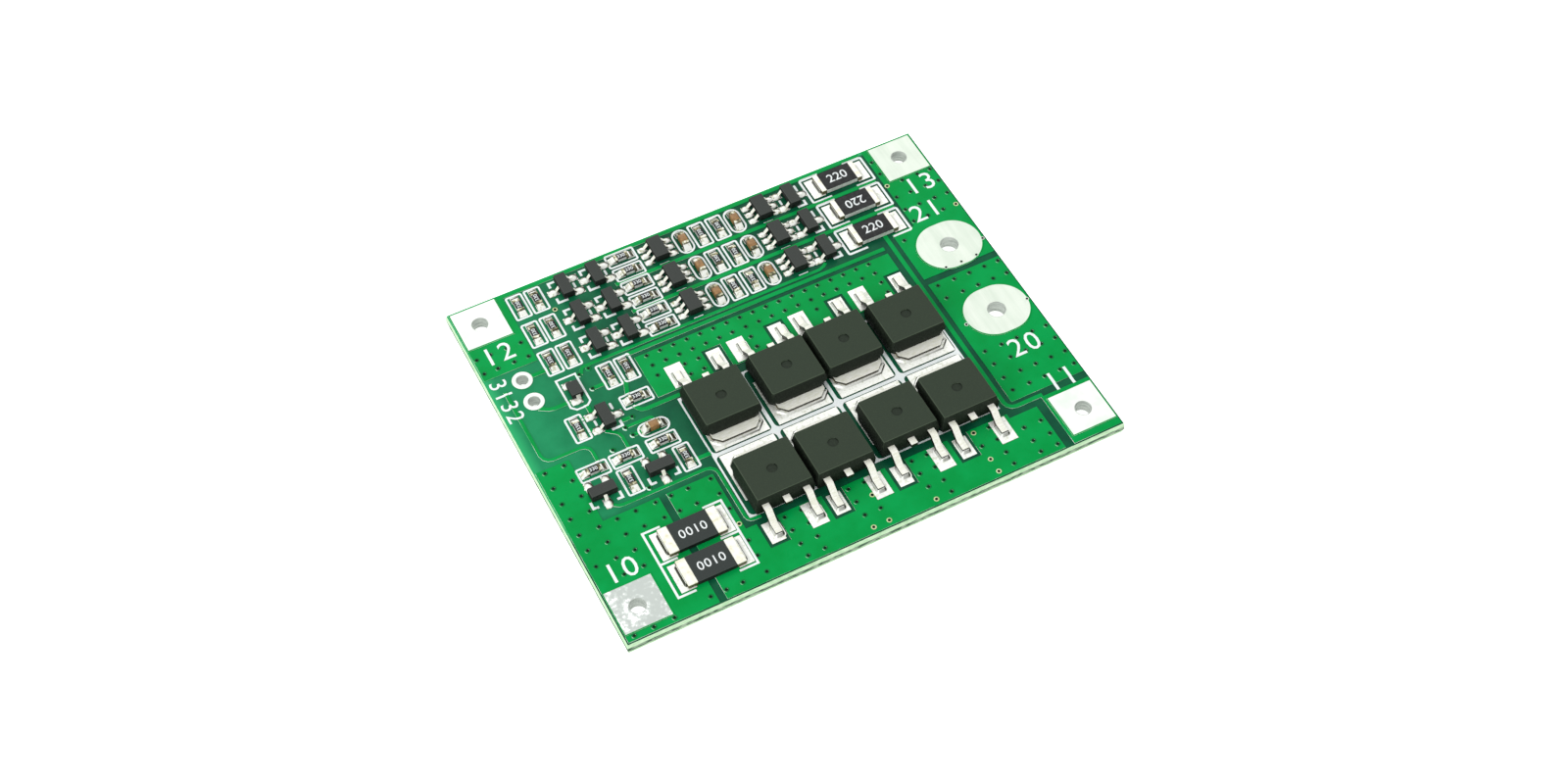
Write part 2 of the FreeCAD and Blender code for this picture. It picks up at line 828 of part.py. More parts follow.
def pours():
    left_edge = f"-1 * ({RIGHT_EDGE})"
    front_edge = f"-1 * ({BACK_EDGE})"
    shunt_top = f"{front_edge} - copper_margin + shunt_pour_reach"
    front_top = f"{front_edge} - copper_margin + front_pour_reach"
    split_left = "shunt_pour_split - pour_gap / 2"
    split_right = "shunt_pour_split + pour_gap / 2"
    sheets = {
        "back_pour": (
            "back_pour_left",
            f"{BACK_ROW} + back_pour_start",
            "back_pour_right",
            f"{BACK_ROW} + back_pour_reach",
        ),
        "plus_pour": ("plus_pour_left", "plus_pour_step", RIGHT_EDGE, BACK_EDGE),
        "plus_pour_foot": (
            "output_pour_left",
            "output_split_y + pour_gap / 2",
            RIGHT_EDGE,
            "plus_pour_step + pour_overlap",
        ),
        "minus_pour": (
            "output_pour_left",
            "minus_pour_inset - board_width / 2",
            RIGHT_EDGE,
            "output_split_y - pour_gap / 2",
        ),
        "cell_one_pour": (
            "cell_one_pour_left",
            front_edge,
            RIGHT_EDGE,
            "cell_one_pour_reach - board_width / 2",
        ),
        "cell_two_pour": (
            left_edge,
            "board_width / 2 - cell_two_pour_reach",
            "cell_two_pour_right",
            BACK_EDGE,
        ),
        "front_pour": ("shunt_pour_right - pour_overlap", front_edge, "front_pour_step_x", front_top),
        "front_pour_end": (
            "front_pour_step_x - pour_overlap",
            front_edge,
            "front_pour_right",
            f"{front_top} - front_pour_step",
        ),
        "shunt_pour": (split_right, front_edge, "shunt_pour_right", shunt_top),
        "battery_pour": (left_edge, front_edge, split_left, shunt_top),
        "battery_pour_arm": (
            left_edge,
            f"{shunt_top} - pour_overlap",
            "battery_pour_right",
            "battery_pour_top",
        ),
    }
    return [pour(label, *edges) for label, edges in sheets.items()]


def gate_windows():
    """Bare laminate round each gate land that stands in a pour."""
    windows = []
    length = "fet_gate_land_width + 2 * gate_clearance"
    width = "fet_gate_land_length + 4 * gate_clearance"
    for x, y, turn in fet_land_places:
        side = -1 if turn == 0 else 1
        middle_x = f"{x} + {side} * fet_lead_spread"
        middle_y = f"{y} + {side} * (fet_lead_land_y - gate_clearance)"
        window = centred_box("gate_window", length, width, "track_foil", middle_x, middle_y, LAMINATE_TOP)
        windows.append(window)
    return windows


def tracks():
    """The tracks by their routes, in groups of one width, from the edges that their parts keep to."""
    left = -size("board_length") / 2
    right = size("board_length") / 2
    back = size("board_width") / 2
    front = -back
    shunt_side = size("shunt_pour_right") + 0.6
    rail_end = size("back_pour_right")
    switch_side = size("bleed_switch_x") - 0.84
    ladder_side = size("ladder_x") - 2.07
    channel_end = size("front_pour_right") + 0.2
    wide_routes = [
        [(left + 14.7, back - 13.53), (rail_end, back - 13.53)],
        [(right - 9.67, back - 11.9), (right - 9.67, front + 7.0), (right - 5.6, front + 7.0)],
        [(left + 3.8, back - 15.6), (left + 5.0, back - 16.35), (left + 7.1, back - 16.35)],
        [(left + 4.7, back - 11.5), (left + 6.8, back - 11.5)],
        [(left + 8.4, back - 17.3), (left + 8.4, back - 18.6)],
        [(left + 7.1, back - 18.95), (left + 7.7, back - 18.95)],
        [(left + 7.1, back - 20.56), (left + 7.7, back - 20.56)],
        [(left + 9.6, back - 15.85), (left + 11.4, back - 15.85)],
        [(left + 13.3, back - 16.4), (left + 12.6, back - 18.3)],
        [(left + 12.6, back - 19.7), (left + 13.1, back - 20.7), (left + 17.5, back - 20.7)],
        [(left + 10.7, back - 20.94), (left + 12.1, back - 20.94)],
        [(left + 10.8, -0.56), (left + 12.1, -0.56)],
        [(left + 15.2, -6.2), (left + 17.0, -6.2)],
        [(ladder_side, back - 4.6), (channel_end, back - 4.6)],
        [(ladder_side, back - 8.7), (channel_end, back - 8.7)],
        [(left + 6.2, back - 0.5), (channel_end, back - 0.5)],
    ]
    fine_routes = [
        [
            (left + 9.5, back - 13.7),
            (left + 9.9, back - 12.85),
            (switch_side - 0.7, back - 12.85),
            (switch_side, back - 12.3),
        ],
        [(left + 1.6, back - 12.1), (left + 1.6, 0.45), (left + 6.5, 0.45), (left + 6.5, -2.0)],
        [(left + 10.4, 0.65), (left + 13.7, 0.65), (left + 13.7, 0.0)],
        [(left + 8.7, 1.2), (left + 9.95, 0.2), (left + 9.95, -2.1)],
        [
            (left + 5.4, -7.0),
            (left + 6.1, -7.72),
            (shunt_side, -7.72),
            (shunt_side, front + 7.25),
            (shunt_side + 1.45, front + 7.25),
        ],
    ]
    metal = [track("wide_track", route, "track_width") for route in wide_routes]
    metal += [track("fine_track", route, "fine_track_width") for route in fine_routes]
    return metal


pour_metal = cut("pour_metal", fused("pour_sheets", *pours()), fused("gate_windows", *gate_windows()))
foil = fused("foil_blank", pour_metal, *tracks())
parts.append(cut("copper_foil", foil, group("foil_cutters", [lands] + list(pads.values()))))

# Check every object, then write each sub-part to a file of its own name

sheet.clear("D1")
doc.recompute()
for item in doc.Objects:
    if "Invalid" in item.State or "Error" in item.State:
        raise RuntimeError(f"{item.Name} did not compute")
for item in parts:
    if item.Shape.isNull() or not item.Shape.isValid():
        raise RuntimeError(f"{item.Label} has no valid shape")

os.makedirs("parts", exist_ok=True)
for item in parts:
    item.Shape.exportStep(f"parts/{item.Label}.step")
    print(item.Label, len(item.Shape.Solids), round(item.Shape.Volume, 3))
print(len(parts), "sub-parts")
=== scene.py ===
# %% [markdown]
# # A battery management board
#
# This lesson dresses a imported CAD model of a small green circuit board. The board protects a
# battery pack: two rows of power transistors switch the current, two shunt resistors measure
# it, and three like channels of tiny parts watch the cells. The CAD solids give every size and
# place. Here they get their solder mask, print, solder, plated holes and finishes.
#
# The first cell loads the solids as a fixed frame.

# %% Load the frame
import bpy
import bmesh
import math
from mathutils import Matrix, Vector


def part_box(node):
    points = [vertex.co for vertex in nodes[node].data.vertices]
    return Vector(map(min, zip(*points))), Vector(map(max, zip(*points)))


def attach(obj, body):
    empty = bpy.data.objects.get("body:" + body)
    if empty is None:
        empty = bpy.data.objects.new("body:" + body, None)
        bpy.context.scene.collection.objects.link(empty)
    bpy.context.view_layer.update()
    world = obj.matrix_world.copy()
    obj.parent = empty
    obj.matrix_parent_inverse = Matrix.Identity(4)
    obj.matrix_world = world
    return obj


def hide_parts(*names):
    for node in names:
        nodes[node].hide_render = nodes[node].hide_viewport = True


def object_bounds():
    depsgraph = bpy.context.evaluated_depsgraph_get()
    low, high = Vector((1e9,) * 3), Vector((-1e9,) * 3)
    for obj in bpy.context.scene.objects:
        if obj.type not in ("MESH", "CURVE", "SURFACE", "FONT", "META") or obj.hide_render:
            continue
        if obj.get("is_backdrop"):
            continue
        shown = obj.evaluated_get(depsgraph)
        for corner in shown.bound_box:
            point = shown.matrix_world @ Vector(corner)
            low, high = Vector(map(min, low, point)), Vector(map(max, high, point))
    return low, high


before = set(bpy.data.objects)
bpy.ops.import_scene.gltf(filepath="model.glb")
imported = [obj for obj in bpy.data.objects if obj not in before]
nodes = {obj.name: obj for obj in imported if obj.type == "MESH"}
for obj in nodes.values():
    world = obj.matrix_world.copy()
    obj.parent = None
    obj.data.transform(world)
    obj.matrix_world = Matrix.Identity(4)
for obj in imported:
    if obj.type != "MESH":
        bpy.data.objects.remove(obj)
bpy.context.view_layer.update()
MM = 0.001

# %% [markdown]
# ## Levels
#
# A circuit board is a stack of thin layers, so it helps to name their heights once. The
# laminate's face, the copper on it and the thicker lands under the power parts are read from
# the CAD nodes. Everything that is printed or soldered on later sits on one of these levels.
# The lower pads stand a little proud of the underside too, so the laminate starts just above
# the table. The board's own sizes and places are written in mm, as on a drawing, and MM turns
# them into the metres that Blender works in. The lamps and the floor stay in metres.

# %% Name the levels
def box_in_mm(node_name):
    """The lowest and the highest corner of a CAD node."""
    return tuple(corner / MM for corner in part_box(node_name))


FACE = box_in_mm("laminate")[1].z
COPPER = box_in_mm("copper_foil")[1].z
LAND = box_in_mm("component_lands")[1].z
UNDERSIDE = 0.05
print("levels in mm:", [round(level, 3) for level in (UNDERSIDE, FACE, COPPER, LAND)])

# %% [markdown]
# ## Working by hand, in code
#
# Blender's operators act on whatever is selected, and loading the frame leaves its nodes
# selected. These helpers do what a hand would: let go of everything, pick up one object, and
# pick parts of it by where they are. Each finished piece gets its place in its mesh, its
# material, and the body that it rides on.

# %% Helpers for selecting
def only(obj):
    """Makes obj the one selected and active object."""
    bpy.ops.object.select_all(action="DESELECT")
    obj.select_set(True)
    bpy.context.view_layer.objects.active = obj
    return obj


def edit(obj, mode="FACE", everything=False):
    """Opens obj in edit mode with nothing selected, or everything."""
    only(obj)
    bpy.ops.object.mode_set(mode="EDIT")
    bpy.ops.mesh.select_mode(type=mode)
    bpy.ops.mesh.select_all(action="SELECT" if everything else "DESELECT")


def pick(obj, kind, wanted):
    """Selects the verts, edges or faces of obj that the rule accepts, and counts them."""
    parts = getattr(bmesh.from_edit_mesh(obj.data), kind)
    for part in parts:
        part.select_set(bool(wanted(part)))
    bmesh.update_edit_mesh(obj.data)
    return sum(part.select for part in parts)


def close():
    """Leaves edit mode."""
    bpy.ops.object.mode_set(mode="OBJECT")


def lift_selection(height):
    """Moves what is selected in edit mode up by a height."""
    bpy.ops.transform.translate(value=(0, 0, height * MM))


# %% Helpers for adding and placing
def add(primitive, **settings):
    """Adds one of Blender's basic meshes, with nothing else selected."""
    bpy.ops.object.select_all(action="DESELECT")
    primitive(**settings)
    return bpy.context.object


def put(obj, x=0.0, y=0.0, turn=0.0, level=0.0, scale=(1.0, 1.0, 1.0)):
    """Scales and turns obj, moves it, and keeps all that in its mesh. The turn is in degrees."""
    only(obj)
    obj.scale = scale
    obj.location = (x * MM, y * MM, level * MM)
    obj.rotation_euler.z = math.radians(turn)
    bpy.ops.object.transform_apply(location=True, rotation=True, scale=True)
    return obj


def copy_at(master, x=0.0, y=0.0, turn=0.0, level=0.0):
    """One more of a finished master, with its own mesh, put in its place."""
    twin = master.copy()
    twin.data = master.data.copy()
    bpy.context.scene.collection.objects.link(twin)
    return put(twin, x, y, turn, level)


def joined(name, pieces):
    """Several objects made into one."""
    bpy.ops.object.select_all(action="DESELECT")
    for piece in pieces:
        piece.select_set(True)
    bpy.context.view_layer.objects.active = pieces[0]
    bpy.ops.object.join()
    result = bpy.context.object
    result.name = result.data.name = name
    return result


def from_node(node_name, name):
    """A copy of a CAD node's mesh, merged into clean faces, to be worked on as a new piece."""
    twin = bpy.data.objects.new(name, nodes[node_name].data.copy())
    bpy.context.scene.collection.objects.link(twin)
    edit(twin, "VERT", everything=True)
    bpy.ops.mesh.remove_doubles(threshold=1e-7)
    bpy.ops.mesh.dissolve_limited(angle_limit=math.radians(1))
    close()
    return twin


def remove(*objects):
    """Deletes objects that were only there to be copied or to cut."""
    for obj in objects:
        bpy.data.objects.remove(obj)


# %% Helpers for finishing
def use_modifier(obj, kind, **settings):
    """Adds a modifier, sets it up and applies it."""
    only(obj)
    modifier = obj.modifiers.new(kind.lower(), kind)
    for key, value in settings.items():
        setattr(modifier, key, value)
    bpy.ops.object.modifier_apply(modifier=modifier.name)
    return obj


def shade(obj, angle):
    """Shades obj smooth, apart from edges that are sharper than an angle."""
    only(obj)
    bpy.ops.object.shade_smooth_by_angle(angle=math.radians(angle))
    return obj


def keep_faces_flat(obj, angle=40):
    """Shades obj smooth, but lets its large faces look flat."""
    return use_modifier(shade(obj, angle), "WEIGHTED_NORMAL", keep_sharp=True, weight=80)


def soften(obj, width, segments=2):
    """Rounds the sharp edges, so that they catch the light."""
    use_modifier(
        obj,
        "BEVEL",
        width=width * MM,
        segments=segments,
        limit_method="ANGLE",
        angle_limit=math.radians(30),
        use_clamp_overlap=True,
    )
    return keep_faces_flat(obj)


def finish_piece(obj, finish, stands_for=()):
    """Gives a piece its finish and lets it ride on the board."""
    obj.data.materials.clear()
    obj.data.materials.append(finish.material)
    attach(obj, "root")
    if stands_for:
        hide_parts(*stands_for)
    return obj


def triangles(*objects):
    """How many triangles some objects have."""
    return sum(len(face.vertices) - 2 for obj in objects for face in obj.data.polygons)


# %% [markdown]
# ## Camera
#
# The photograph was taken from the front left, fairly high up, with a long lens. The camera's
# place was solved from the four corners of the board, whose size is known, so the same corners
# fall on the same points of the picture.

# %% Place the camera
CAMERA_PLACE = (-64.544, -126.137, 193.023)
CAMERA_TURN = (35.914, 0.177, -27.539)
camera_data = bpy.data.cameras.new("camera")
camera_data.sensor_width = 36.0
camera_data.lens = 52.80
camera_data.clip_start = 0.01
camera_data.clip_end = 10
camera = bpy.data.objects.new("camera", camera_data)
bpy.context.scene.collection.objects.link(camera)
camera.location = Vector(CAMERA_PLACE) * MM
camera.rotation_euler = [math.radians(angle) for angle in CAMERA_TURN]
bpy.context.scene.camera = camera
print("camera height in mm:", round(camera.location.z / MM, 1))

# %% [markdown]
# ## Light and floor
#
# The board lies on white paper under broad, soft light. To the camera, and in reflections, the
# paper adds some shine of its own to the light that falls on it, so it turns white and still
# keeps the board's shadow. It adds no light to the board. A large lamp from the front left and
# a weaker one from behind light the board, and the weaker one lifts the far sides. The thin
# bright lines along the left edges of the copper are painted highlights in the mask's colour.

# %% Show the camera another shader
WHITE = (1.0, 1.0, 1.0, 1.0)


def show_to_camera(tree, hidden, shown):
    """Mixes two shaders: one lights the board, the other is seen directly and in mirrors."""
    rays = tree.nodes.new("ShaderNodeLightPath")
    seen = rays.outputs["Is Camera Ray"]
    for other in ("Is Glossy Ray", "Is Transmission Ray"):
        either = tree.nodes.new("ShaderNodeMath")
        either.operation = "MAXIMUM"
        tree.links.new(seen, either.inputs[0])
        tree.links.new(rays.outputs[other], either.inputs[1])
        seen = either.outputs["Value"]
    choose = tree.nodes.new("ShaderNodeMixShader")
    tree.links.new(seen, choose.inputs["Fac"])
    tree.links.new(hidden.outputs[0], choose.inputs[1])
    tree.links.new(shown.outputs[0], choose.inputs[2])
    return choose.outputs["Shader"]


def shine(node, strength):
    """Makes a background or emission shader white, with some strength."""
    node.inputs["Color"].default_value = WHITE
    node.inputs["Strength"].default_value = strength
    return node


# %% Set the world
bpy.context.scene.view_settings.view_transform = "Standard"
world = bpy.data.worlds.new("studio")
bpy.context.scene.world = world
world.use_nodes = True
sky = world.node_tree
soft_light = shine(sky.nodes["Background"], 0.75)
white_sky = shine(sky.nodes.new("ShaderNodeBackground"), 1.0)
shown_sky = show_to_camera(sky, soft_light, white_sky)
sky.links.new(shown_sky, sky.nodes["World Output"].inputs["Surface"])
print("world strength:", soft_light.inputs["Strength"].default_value)


# %% Hang the lamps
def add_lamp(name, size, power, place):
    """A square soft box that faces the board."""
    lamp_data = bpy.data.lights.new(name, "AREA")
    lamp_data.shape = "SQUARE"
    lamp_data.size = size
    lamp_data.energy = power
    lamp = bpy.data.objects.new(name, lamp_data)
    bpy.context.scene.collection.objects.link(lamp)
    lamp.location = place
    lamp.rotation_euler = (-lamp.location).to_track_quat("-Z", "Y").to_euler()
    return lamp


add_lamp("front_left_lamp", 0.30, 1.1, (-0.42, -0.18, 0.30))
add_lamp("back_lamp", 0.40, 0.8, (0.10, 0.50, 0.45))

# %% Lay the floor
floor = add(bpy.ops.mesh.primitive_plane_add, size=3.0, location=(0, 0, -0.02 * MM))
floor.name = "paper"
paper = bpy.data.materials.new("white_paper")
paper.use_nodes = True
sheet = paper.node_tree
matt = sheet.nodes["Principled BSDF"]
matt.inputs["Base Color"].default_value = WHITE
matt.inputs["Roughness"].default_value = 0.9
glow = shine(sheet.nodes.new("ShaderNodeEmission"), 0.8)
lit_and_shining = sheet.nodes.new("ShaderNodeAddShader")
sheet.links.new(matt.outputs["BSDF"], lit_and_shining.inputs[0])
sheet.links.new(glow.outputs["Emission"], lit_and_shining.inputs[1])
shown_paper = show_to_camera(sheet, matt, lit_and_shining)
sheet.links.new(shown_paper, sheet.nodes["Material Output"].inputs["Surface"])
floor.data.materials.append(paper)
floor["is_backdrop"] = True

# %% [markdown]
# ## Finishes
#
# Nearly every surface here is one of a few kinds: glossy solder mask, tin, moulded epoxy,
# ceramic and print. One helper makes the shader, and each finish then gets its own small
# irregularities. A real surface is never quite even: mask is slightly wavy, tin is mottled
# where it froze, epoxy is full of fine grains. The patterns are made from noise on the
# object's own coordinates, so they stay put from every side. Colours are written as a picture
# shows them, from 0 to 255.

# %% A helper for finishes
def linear(colour):
    """A colour of a picture, from 0 to 255, as the linear colour that a shader takes."""
    shares = [value / 255 for value in colour]
    return (*[s / 12.92 if s <= 0.04045 else ((s + 0.055) / 1.055) ** 2.4 for s in shares], 1.0)


class Finish:
    """A material with short ways to add noise, ramps and bumps to it."""

    def __init__(self, name, colour, roughness, metallic=0.0, specular=0.5):
        self.material = bpy.data.materials.new(name)
        self.material.use_nodes = True
        self.nodes = self.material.node_tree.nodes
        self.link = self.material.node_tree.links.new
        self.shader = self.nodes["Principled BSDF"]
        self.shader.inputs["Base Color"].default_value = linear(colour)
        self.shader.inputs["Roughness"].default_value = roughness
        self.shader.inputs["Metallic"].default_value = metallic
        self.shader.inputs["Specular IOR Level"].default_value = specular
        self.place = self.nodes.new("ShaderNodeTexCoord").outputs["Object"]

    def noise(self, scale, detail=3.0, stretch=(1.0, 1.0, 1.0)):
        """Noise on the object's coordinates. The scale is in cells per metre."""
        mapping = self.nodes.new("ShaderNodeMapping")
        mapping.inputs["Scale"].default_value = stretch
        self.link(self.place, mapping.inputs["Vector"])
        texture = self.nodes.new("ShaderNodeTexNoise")
        texture.inputs["Scale"].default_value = scale
        texture.inputs["Detail"].default_value = detail
        self.link(mapping.outputs["Vector"], texture.inputs["Vector"])
        return texture.outputs["Fac"]

    def with_vector(self, operation, source, vector):
        """A number that comes from a source and a fixed vector."""
        node = self.nodes.new("ShaderNodeVectorMath")
        node.operation = operation
        node.inputs[1].default_value = vector
        self.link(source, node.inputs[0])
        return node.outputs["Value"]

    def distance_from(self, x, y, z):
        """How far a point of the object is from a place in mm, in metres."""
        return self.with_vector("DISTANCE", self.place, (x * MM, y * MM, z * MM))

    def slope_towards(self, *side):
        """How far the surface faces along a direction."""
        geometry = self.nodes.new("ShaderNodeNewGeometry")
        return self.with_vector("DOT_PRODUCT", geometry.outputs["Normal"], side)

    def upness(self):
        """1 where the surface faces up, 0 where it is upright."""
        return self.slope_towards(0, 0, 1)

    def along(self, axis, start, end, to_low=0.0, to_high=1.0):
        """A value that goes from low to high between two places on X, Y or Z, in mm."""
        split = self.nodes.new("ShaderNodeSeparateXYZ")
        self.link(self.place, split.inputs["Vector"])
        return self.spread(split.outputs[axis], start * MM, end * MM, to_low, to_high)

    def ramp(self, value, *stops, sharp=False):
        """Colours along a value, as pairs of position and colour."""
        node = self.nodes.new("ShaderNodeValToRGB")
        node.color_ramp.interpolation = "CONSTANT" if sharp else "LINEAR"
        elements = node.color_ramp.elements
        for element, (position, colour) in zip(elements, stops):
            element.position, element.color = position, linear(colour)
        for position, colour in stops[2:]:
            elements.new(position).color = linear(colour)
        self.link(value, node.inputs["Fac"])
        return node.outputs["Color"]

    def mottled(self, value, low, dark, high, bright):
        """Two tones that change into each other along a value."""
        return self.ramp(value, (low, dark), (high, bright))

    def spread(self, value, low, high, to_low=0.0, to_high=1.0):
        """A value moved from one range to another."""
        node = self.nodes.new("ShaderNodeMapRange")
        node.inputs["From Min"].default_value = low
        node.inputs["From Max"].default_value = high
        node.inputs["To Min"].default_value = to_low
        node.inputs["To Max"].default_value = to_high
        self.link(value, node.inputs["Value"])
        return node.outputs["Result"]

    def mix(self, factor, first, second):
        """Two colours, or outputs with colours, mixed by a factor."""
        node = self.nodes.new("ShaderNodeMix")
        node.data_type = "RGBA"
        self.link(factor, node.inputs["Factor"])
        for socket, colour in ((node.inputs[6], first), (node.inputs[7], second)):
            if isinstance(colour, tuple):
                socket.default_value = linear(colour)
            else:
                self.link(colour, socket)
        return node.outputs[2]

    def combine(self, operation, *values):
        """Values taken together by ADD, MULTIPLY or MAXIMUM."""
        result = values[0]
        for value in values[1:]:
            node = self.nodes.new("ShaderNodeMath")
            node.operation = operation
            self.link(result, node.inputs[0])
            self.link(value, node.inputs[1])
            result = node.outputs["Value"]
        return result

    def colour(self, source):
        self.link(source, self.shader.inputs["Base Color"])

    def roughness(self, source):
        self.link(source, self.shader.inputs["Roughness"])

    def bump(self, source, height, strength):
        """Raises the surface by a value, by up to a height in mm."""
        node = self.nodes.new("ShaderNodeBump")
        node.inputs["Distance"].default_value = height * MM
        node.inputs["Strength"].default_value = strength
        self.link(source, node.inputs["Height"])
        self.link(node.outputs["Normal"], self.shader.inputs["Normal"])


# %% [markdown]
# ### Solder mask and laminate
#
# Solder mask is a thin green varnish. Over copper it looks bright green, because the metal
# below throws light back through it, and over bare laminate it is dark and bluish. The bare
# mask gets a lighter painted glare towards the left and along the left and back rims. The edge
# of the board was scored and snapped: two pale slopes of cut glass fibre with a rough grey band
# between them.

# %% Mask over copper
TOWARDS_THE_LAMP = (-0.9, -0.45, 0.0)
mask = Finish("mask_over_copper", (8, 150, 70), 0.30, specular=0.05)
flat_mask = mask.mottled(mask.noise(350, detail=2.0), 0.35, (0, 152, 68), 0.65, (3, 162, 78))
# Painted highlight: mask slopes that face the front-left lamp get a lighter green, and on the left
# and front of the board pale green and white patches.
painted_glint_breakup = mask.spread(mask.noise(420), 0.38, 0.5)
painted_glint_tones = mask.mix(painted_glint_breakup, (120, 214, 158), (248, 255, 250))
glinting = mask.combine("MAXIMUM", mask.along("X", 3, -4), mask.along("Y", -11, -13))
glint = mask.mix(glinting, (40, 160, 96), painted_glint_tones)
lit = mask.spread(mask.slope_towards(*TOWARDS_THE_LAMP), 0.15, 0.6)
shoulder = mask.mix(lit, (34, 150, 88), glint)
mask.colour(mask.mix(mask.spread(mask.upness(), 0.80, 0.97), shoulder, flat_mask))
mask.roughness(mask.spread(mask.noise(1400), 0.3, 0.7, 0.24, 0.36))
mask.bump(mask.noise(2600, detail=2.0), 0.004, 0.6)

# %% Mask over bare laminate
laminate = Finish("laminate_and_mask", (22, 104, 74), 0.34, specular=0.08)
cloud = laminate.noise(500)
right_mask = laminate.mottled(cloud, 0.35, (10, 78, 54), 0.65, (16, 94, 62))
painted_glare_mask = laminate.mottled(cloud, 0.35, (24, 138, 88), 0.65, (32, 148, 96))
under_mask = laminate.mottled(cloud, 0.3, (8, 142, 70), 0.7, (12, 152, 77))
# Painted glare: behind y = -8 the bare mask turns lighter towards the left and paler along the left
# rim, and it is paler along the back rim.
behind = laminate.along("Y", -9.5, -8.0)
leftward = laminate.combine("MULTIPLY", laminate.along("X", -10.0, -25.0), behind)
bare_mask = laminate.mix(leftward, right_mask, painted_glare_mask)
painted_left_rim_glare = laminate.combine("MULTIPLY", laminate.along("X", -26.8, -27.7), behind)
painted_rim_glare = laminate.combine("MAXIMUM", painted_left_rim_glare, laminate.along("Y", 21.8, 22.1))
top_mask = laminate.mix(painted_rim_glare, bare_mask, (46, 176, 110))

# %% The snapped edge
weave = laminate.noise(1300, detail=4.0, stretch=(1.0, 1.0, 3.0))
fibre = laminate.mottled(weave, 0.32, (182, 226, 178), 0.7, (226, 250, 216))
rough_band = laminate.mottled(weave, 0.40, (74, 102, 82), 0.60, (166, 188, 162))
in_band = laminate.ramp(
    laminate.along("Z", 0.0, 1.5),
    (0.0, (0, 0, 0)),
    (0.335, (255, 255, 255)),
    (0.665, (0, 0, 0)),
    sharp=True,
)
edge = laminate.mix(in_band, fibre, rough_band)
upward = laminate.upness()
faces_up = laminate.spread(upward, 0.90, 0.95)
faces_down = laminate.spread(upward, -0.90, -0.95)
laminate.colour(laminate.mix(faces_down, laminate.mix(faces_up, edge, top_mask), under_mask))
flatness = laminate.combine("MAXIMUM", faces_up, faces_down)
laminate.roughness(laminate.spread(flatness, 0.0, 1.0, 0.75, 0.32))
laminate.bump(laminate.noise(3200, detail=4.0), 0.02, 0.35)

# %% [markdown]
# ### Tin and solder
#
# The pads are hot-tinned: soft, bright and slightly uneven, with duller patches, and one pad is
# worn. Leads are tin plated and matt, a little warmer in tone, and the ends of the chips are
# stained. Solder climbs each lead in a hollow curve, and its steep flanks look dark because
# they mirror the dark parts beside them. That reflection is painted: a steep flank gets a dark
# tone from the way it faces, and tin that faces up, or towards the lamp, gets a painted
# highlight. The heaps of the small parts are duller than those of the power parts.

# %% Tinned pads
tin = Finish("tinned_pad", (236, 246, 232), 0.5, metallic=0.25)
patches = tin.noise(420, detail=5.0)
brushed = tin.noise(1100, detail=4.0, stretch=(1.0, 0.1, 1.0))
left_tin = tin.mottled(patches, 0.38, (238, 248, 238), 0.60, (252, 255, 250))
right_tin = tin.mottled(brushed, 0.38, (222, 234, 219), 0.62, (234, 243, 230))
back_right = tin.combine("MULTIPLY", tin.along("X", -15, 20), tin.along("Y", -16, -9))
tin.colour(tin.mix(back_right, left_tin, right_tin))
tin.roughness(tin.spread(patches, 0.35, 0.65, 0.6, 0.4))
tin.bump(tin.noise(1500, detail=4.0), 0.02, 0.4)

# %% The worn pad
worn_tin = Finish("worn_tinned_pad", (203, 203, 200), 0.45, metallic=0.6)
from_bore = worn_tin.distance_from(-25.4, -19.2, LAND)
blotches = worn_tin.combine(
    "ADD",
    worn_tin.noise(2300, detail=7.0),
    worn_tin.along("X", -27.8, -25.2, 0.10, -0.08),
    worn_tin.along("X", -23.1, -22.7, -0.02, 0.08),
    worn_tin.along("Y", -21.6, -20.2, 0.04, 0.0),
    worn_tin.spread(from_bore, 1.0 * MM, 1.7 * MM, 0.14, -0.03),
)
worn_tones = (0.40, (190, 197, 192)), (0.56, (208, 215, 210)), (0.59, (250, 252, 249))
worn_tin.colour(worn_tin.ramp(blotches, *worn_tones))
worn_tin.roughness(worn_tin.spread(blotches, 0.45, 0.65, 0.5, 0.3))
worn_tin.bump(worn_tin.noise(1300, detail=5.0), 0.02, 0.6)


# %% Leads, caps and solder
def dark_flanked(finish, grains, side, dark_from, bright_from, flank, tones, relief=0.4):
    """Paints tin bright where it faces a side, and paints a dark reflection of the parts on its
    flanks.
    """
    facing = finish.spread(finish.slope_towards(*side), dark_from, bright_from)
    finish.colour(finish.mix(facing, flank, finish.ramp(grains, *tones)))
    finish.bump(grains, 0.02, relief)


def solder_finish(name, side, dark_from, bright_from, flank, dull):
    """Frozen solder with a fine frost, a painted highlight and painted dark flanks."""
    finish = Finish(name, (231, 230, 225), 0.34, metallic=0.3)
    grains = finish.noise(2400, detail=5.0)
    tones = (0.34, dull), (0.46, (252, 254, 247))
    dark_flanked(finish, grains, side, dark_from, bright_from, flank, tones, relief=0.5)
    return finish


UP = (0, 0, 1)
lead_tin = Finish("lead_tin", (231, 230, 220), 0.42, metallic=0.15)
strokes = lead_tin.noise(1500, detail=4.0, stretch=(1.0, 6.0, 1.0))
lead_tones = (0.35, (236, 237, 218)), (0.62, (254, 254, 246))
# Painted dark reflection on the flanks of the leads and tabs: tan low down, near black higher up.
lead_flank = lead_tin.mix(lead_tin.along("Z", 1.74, 1.86), (128, 116, 68), (20, 18, 10))
dark_flanked(lead_tin, strokes, UP, 0.2, 0.6, lead_flank, lead_tones)

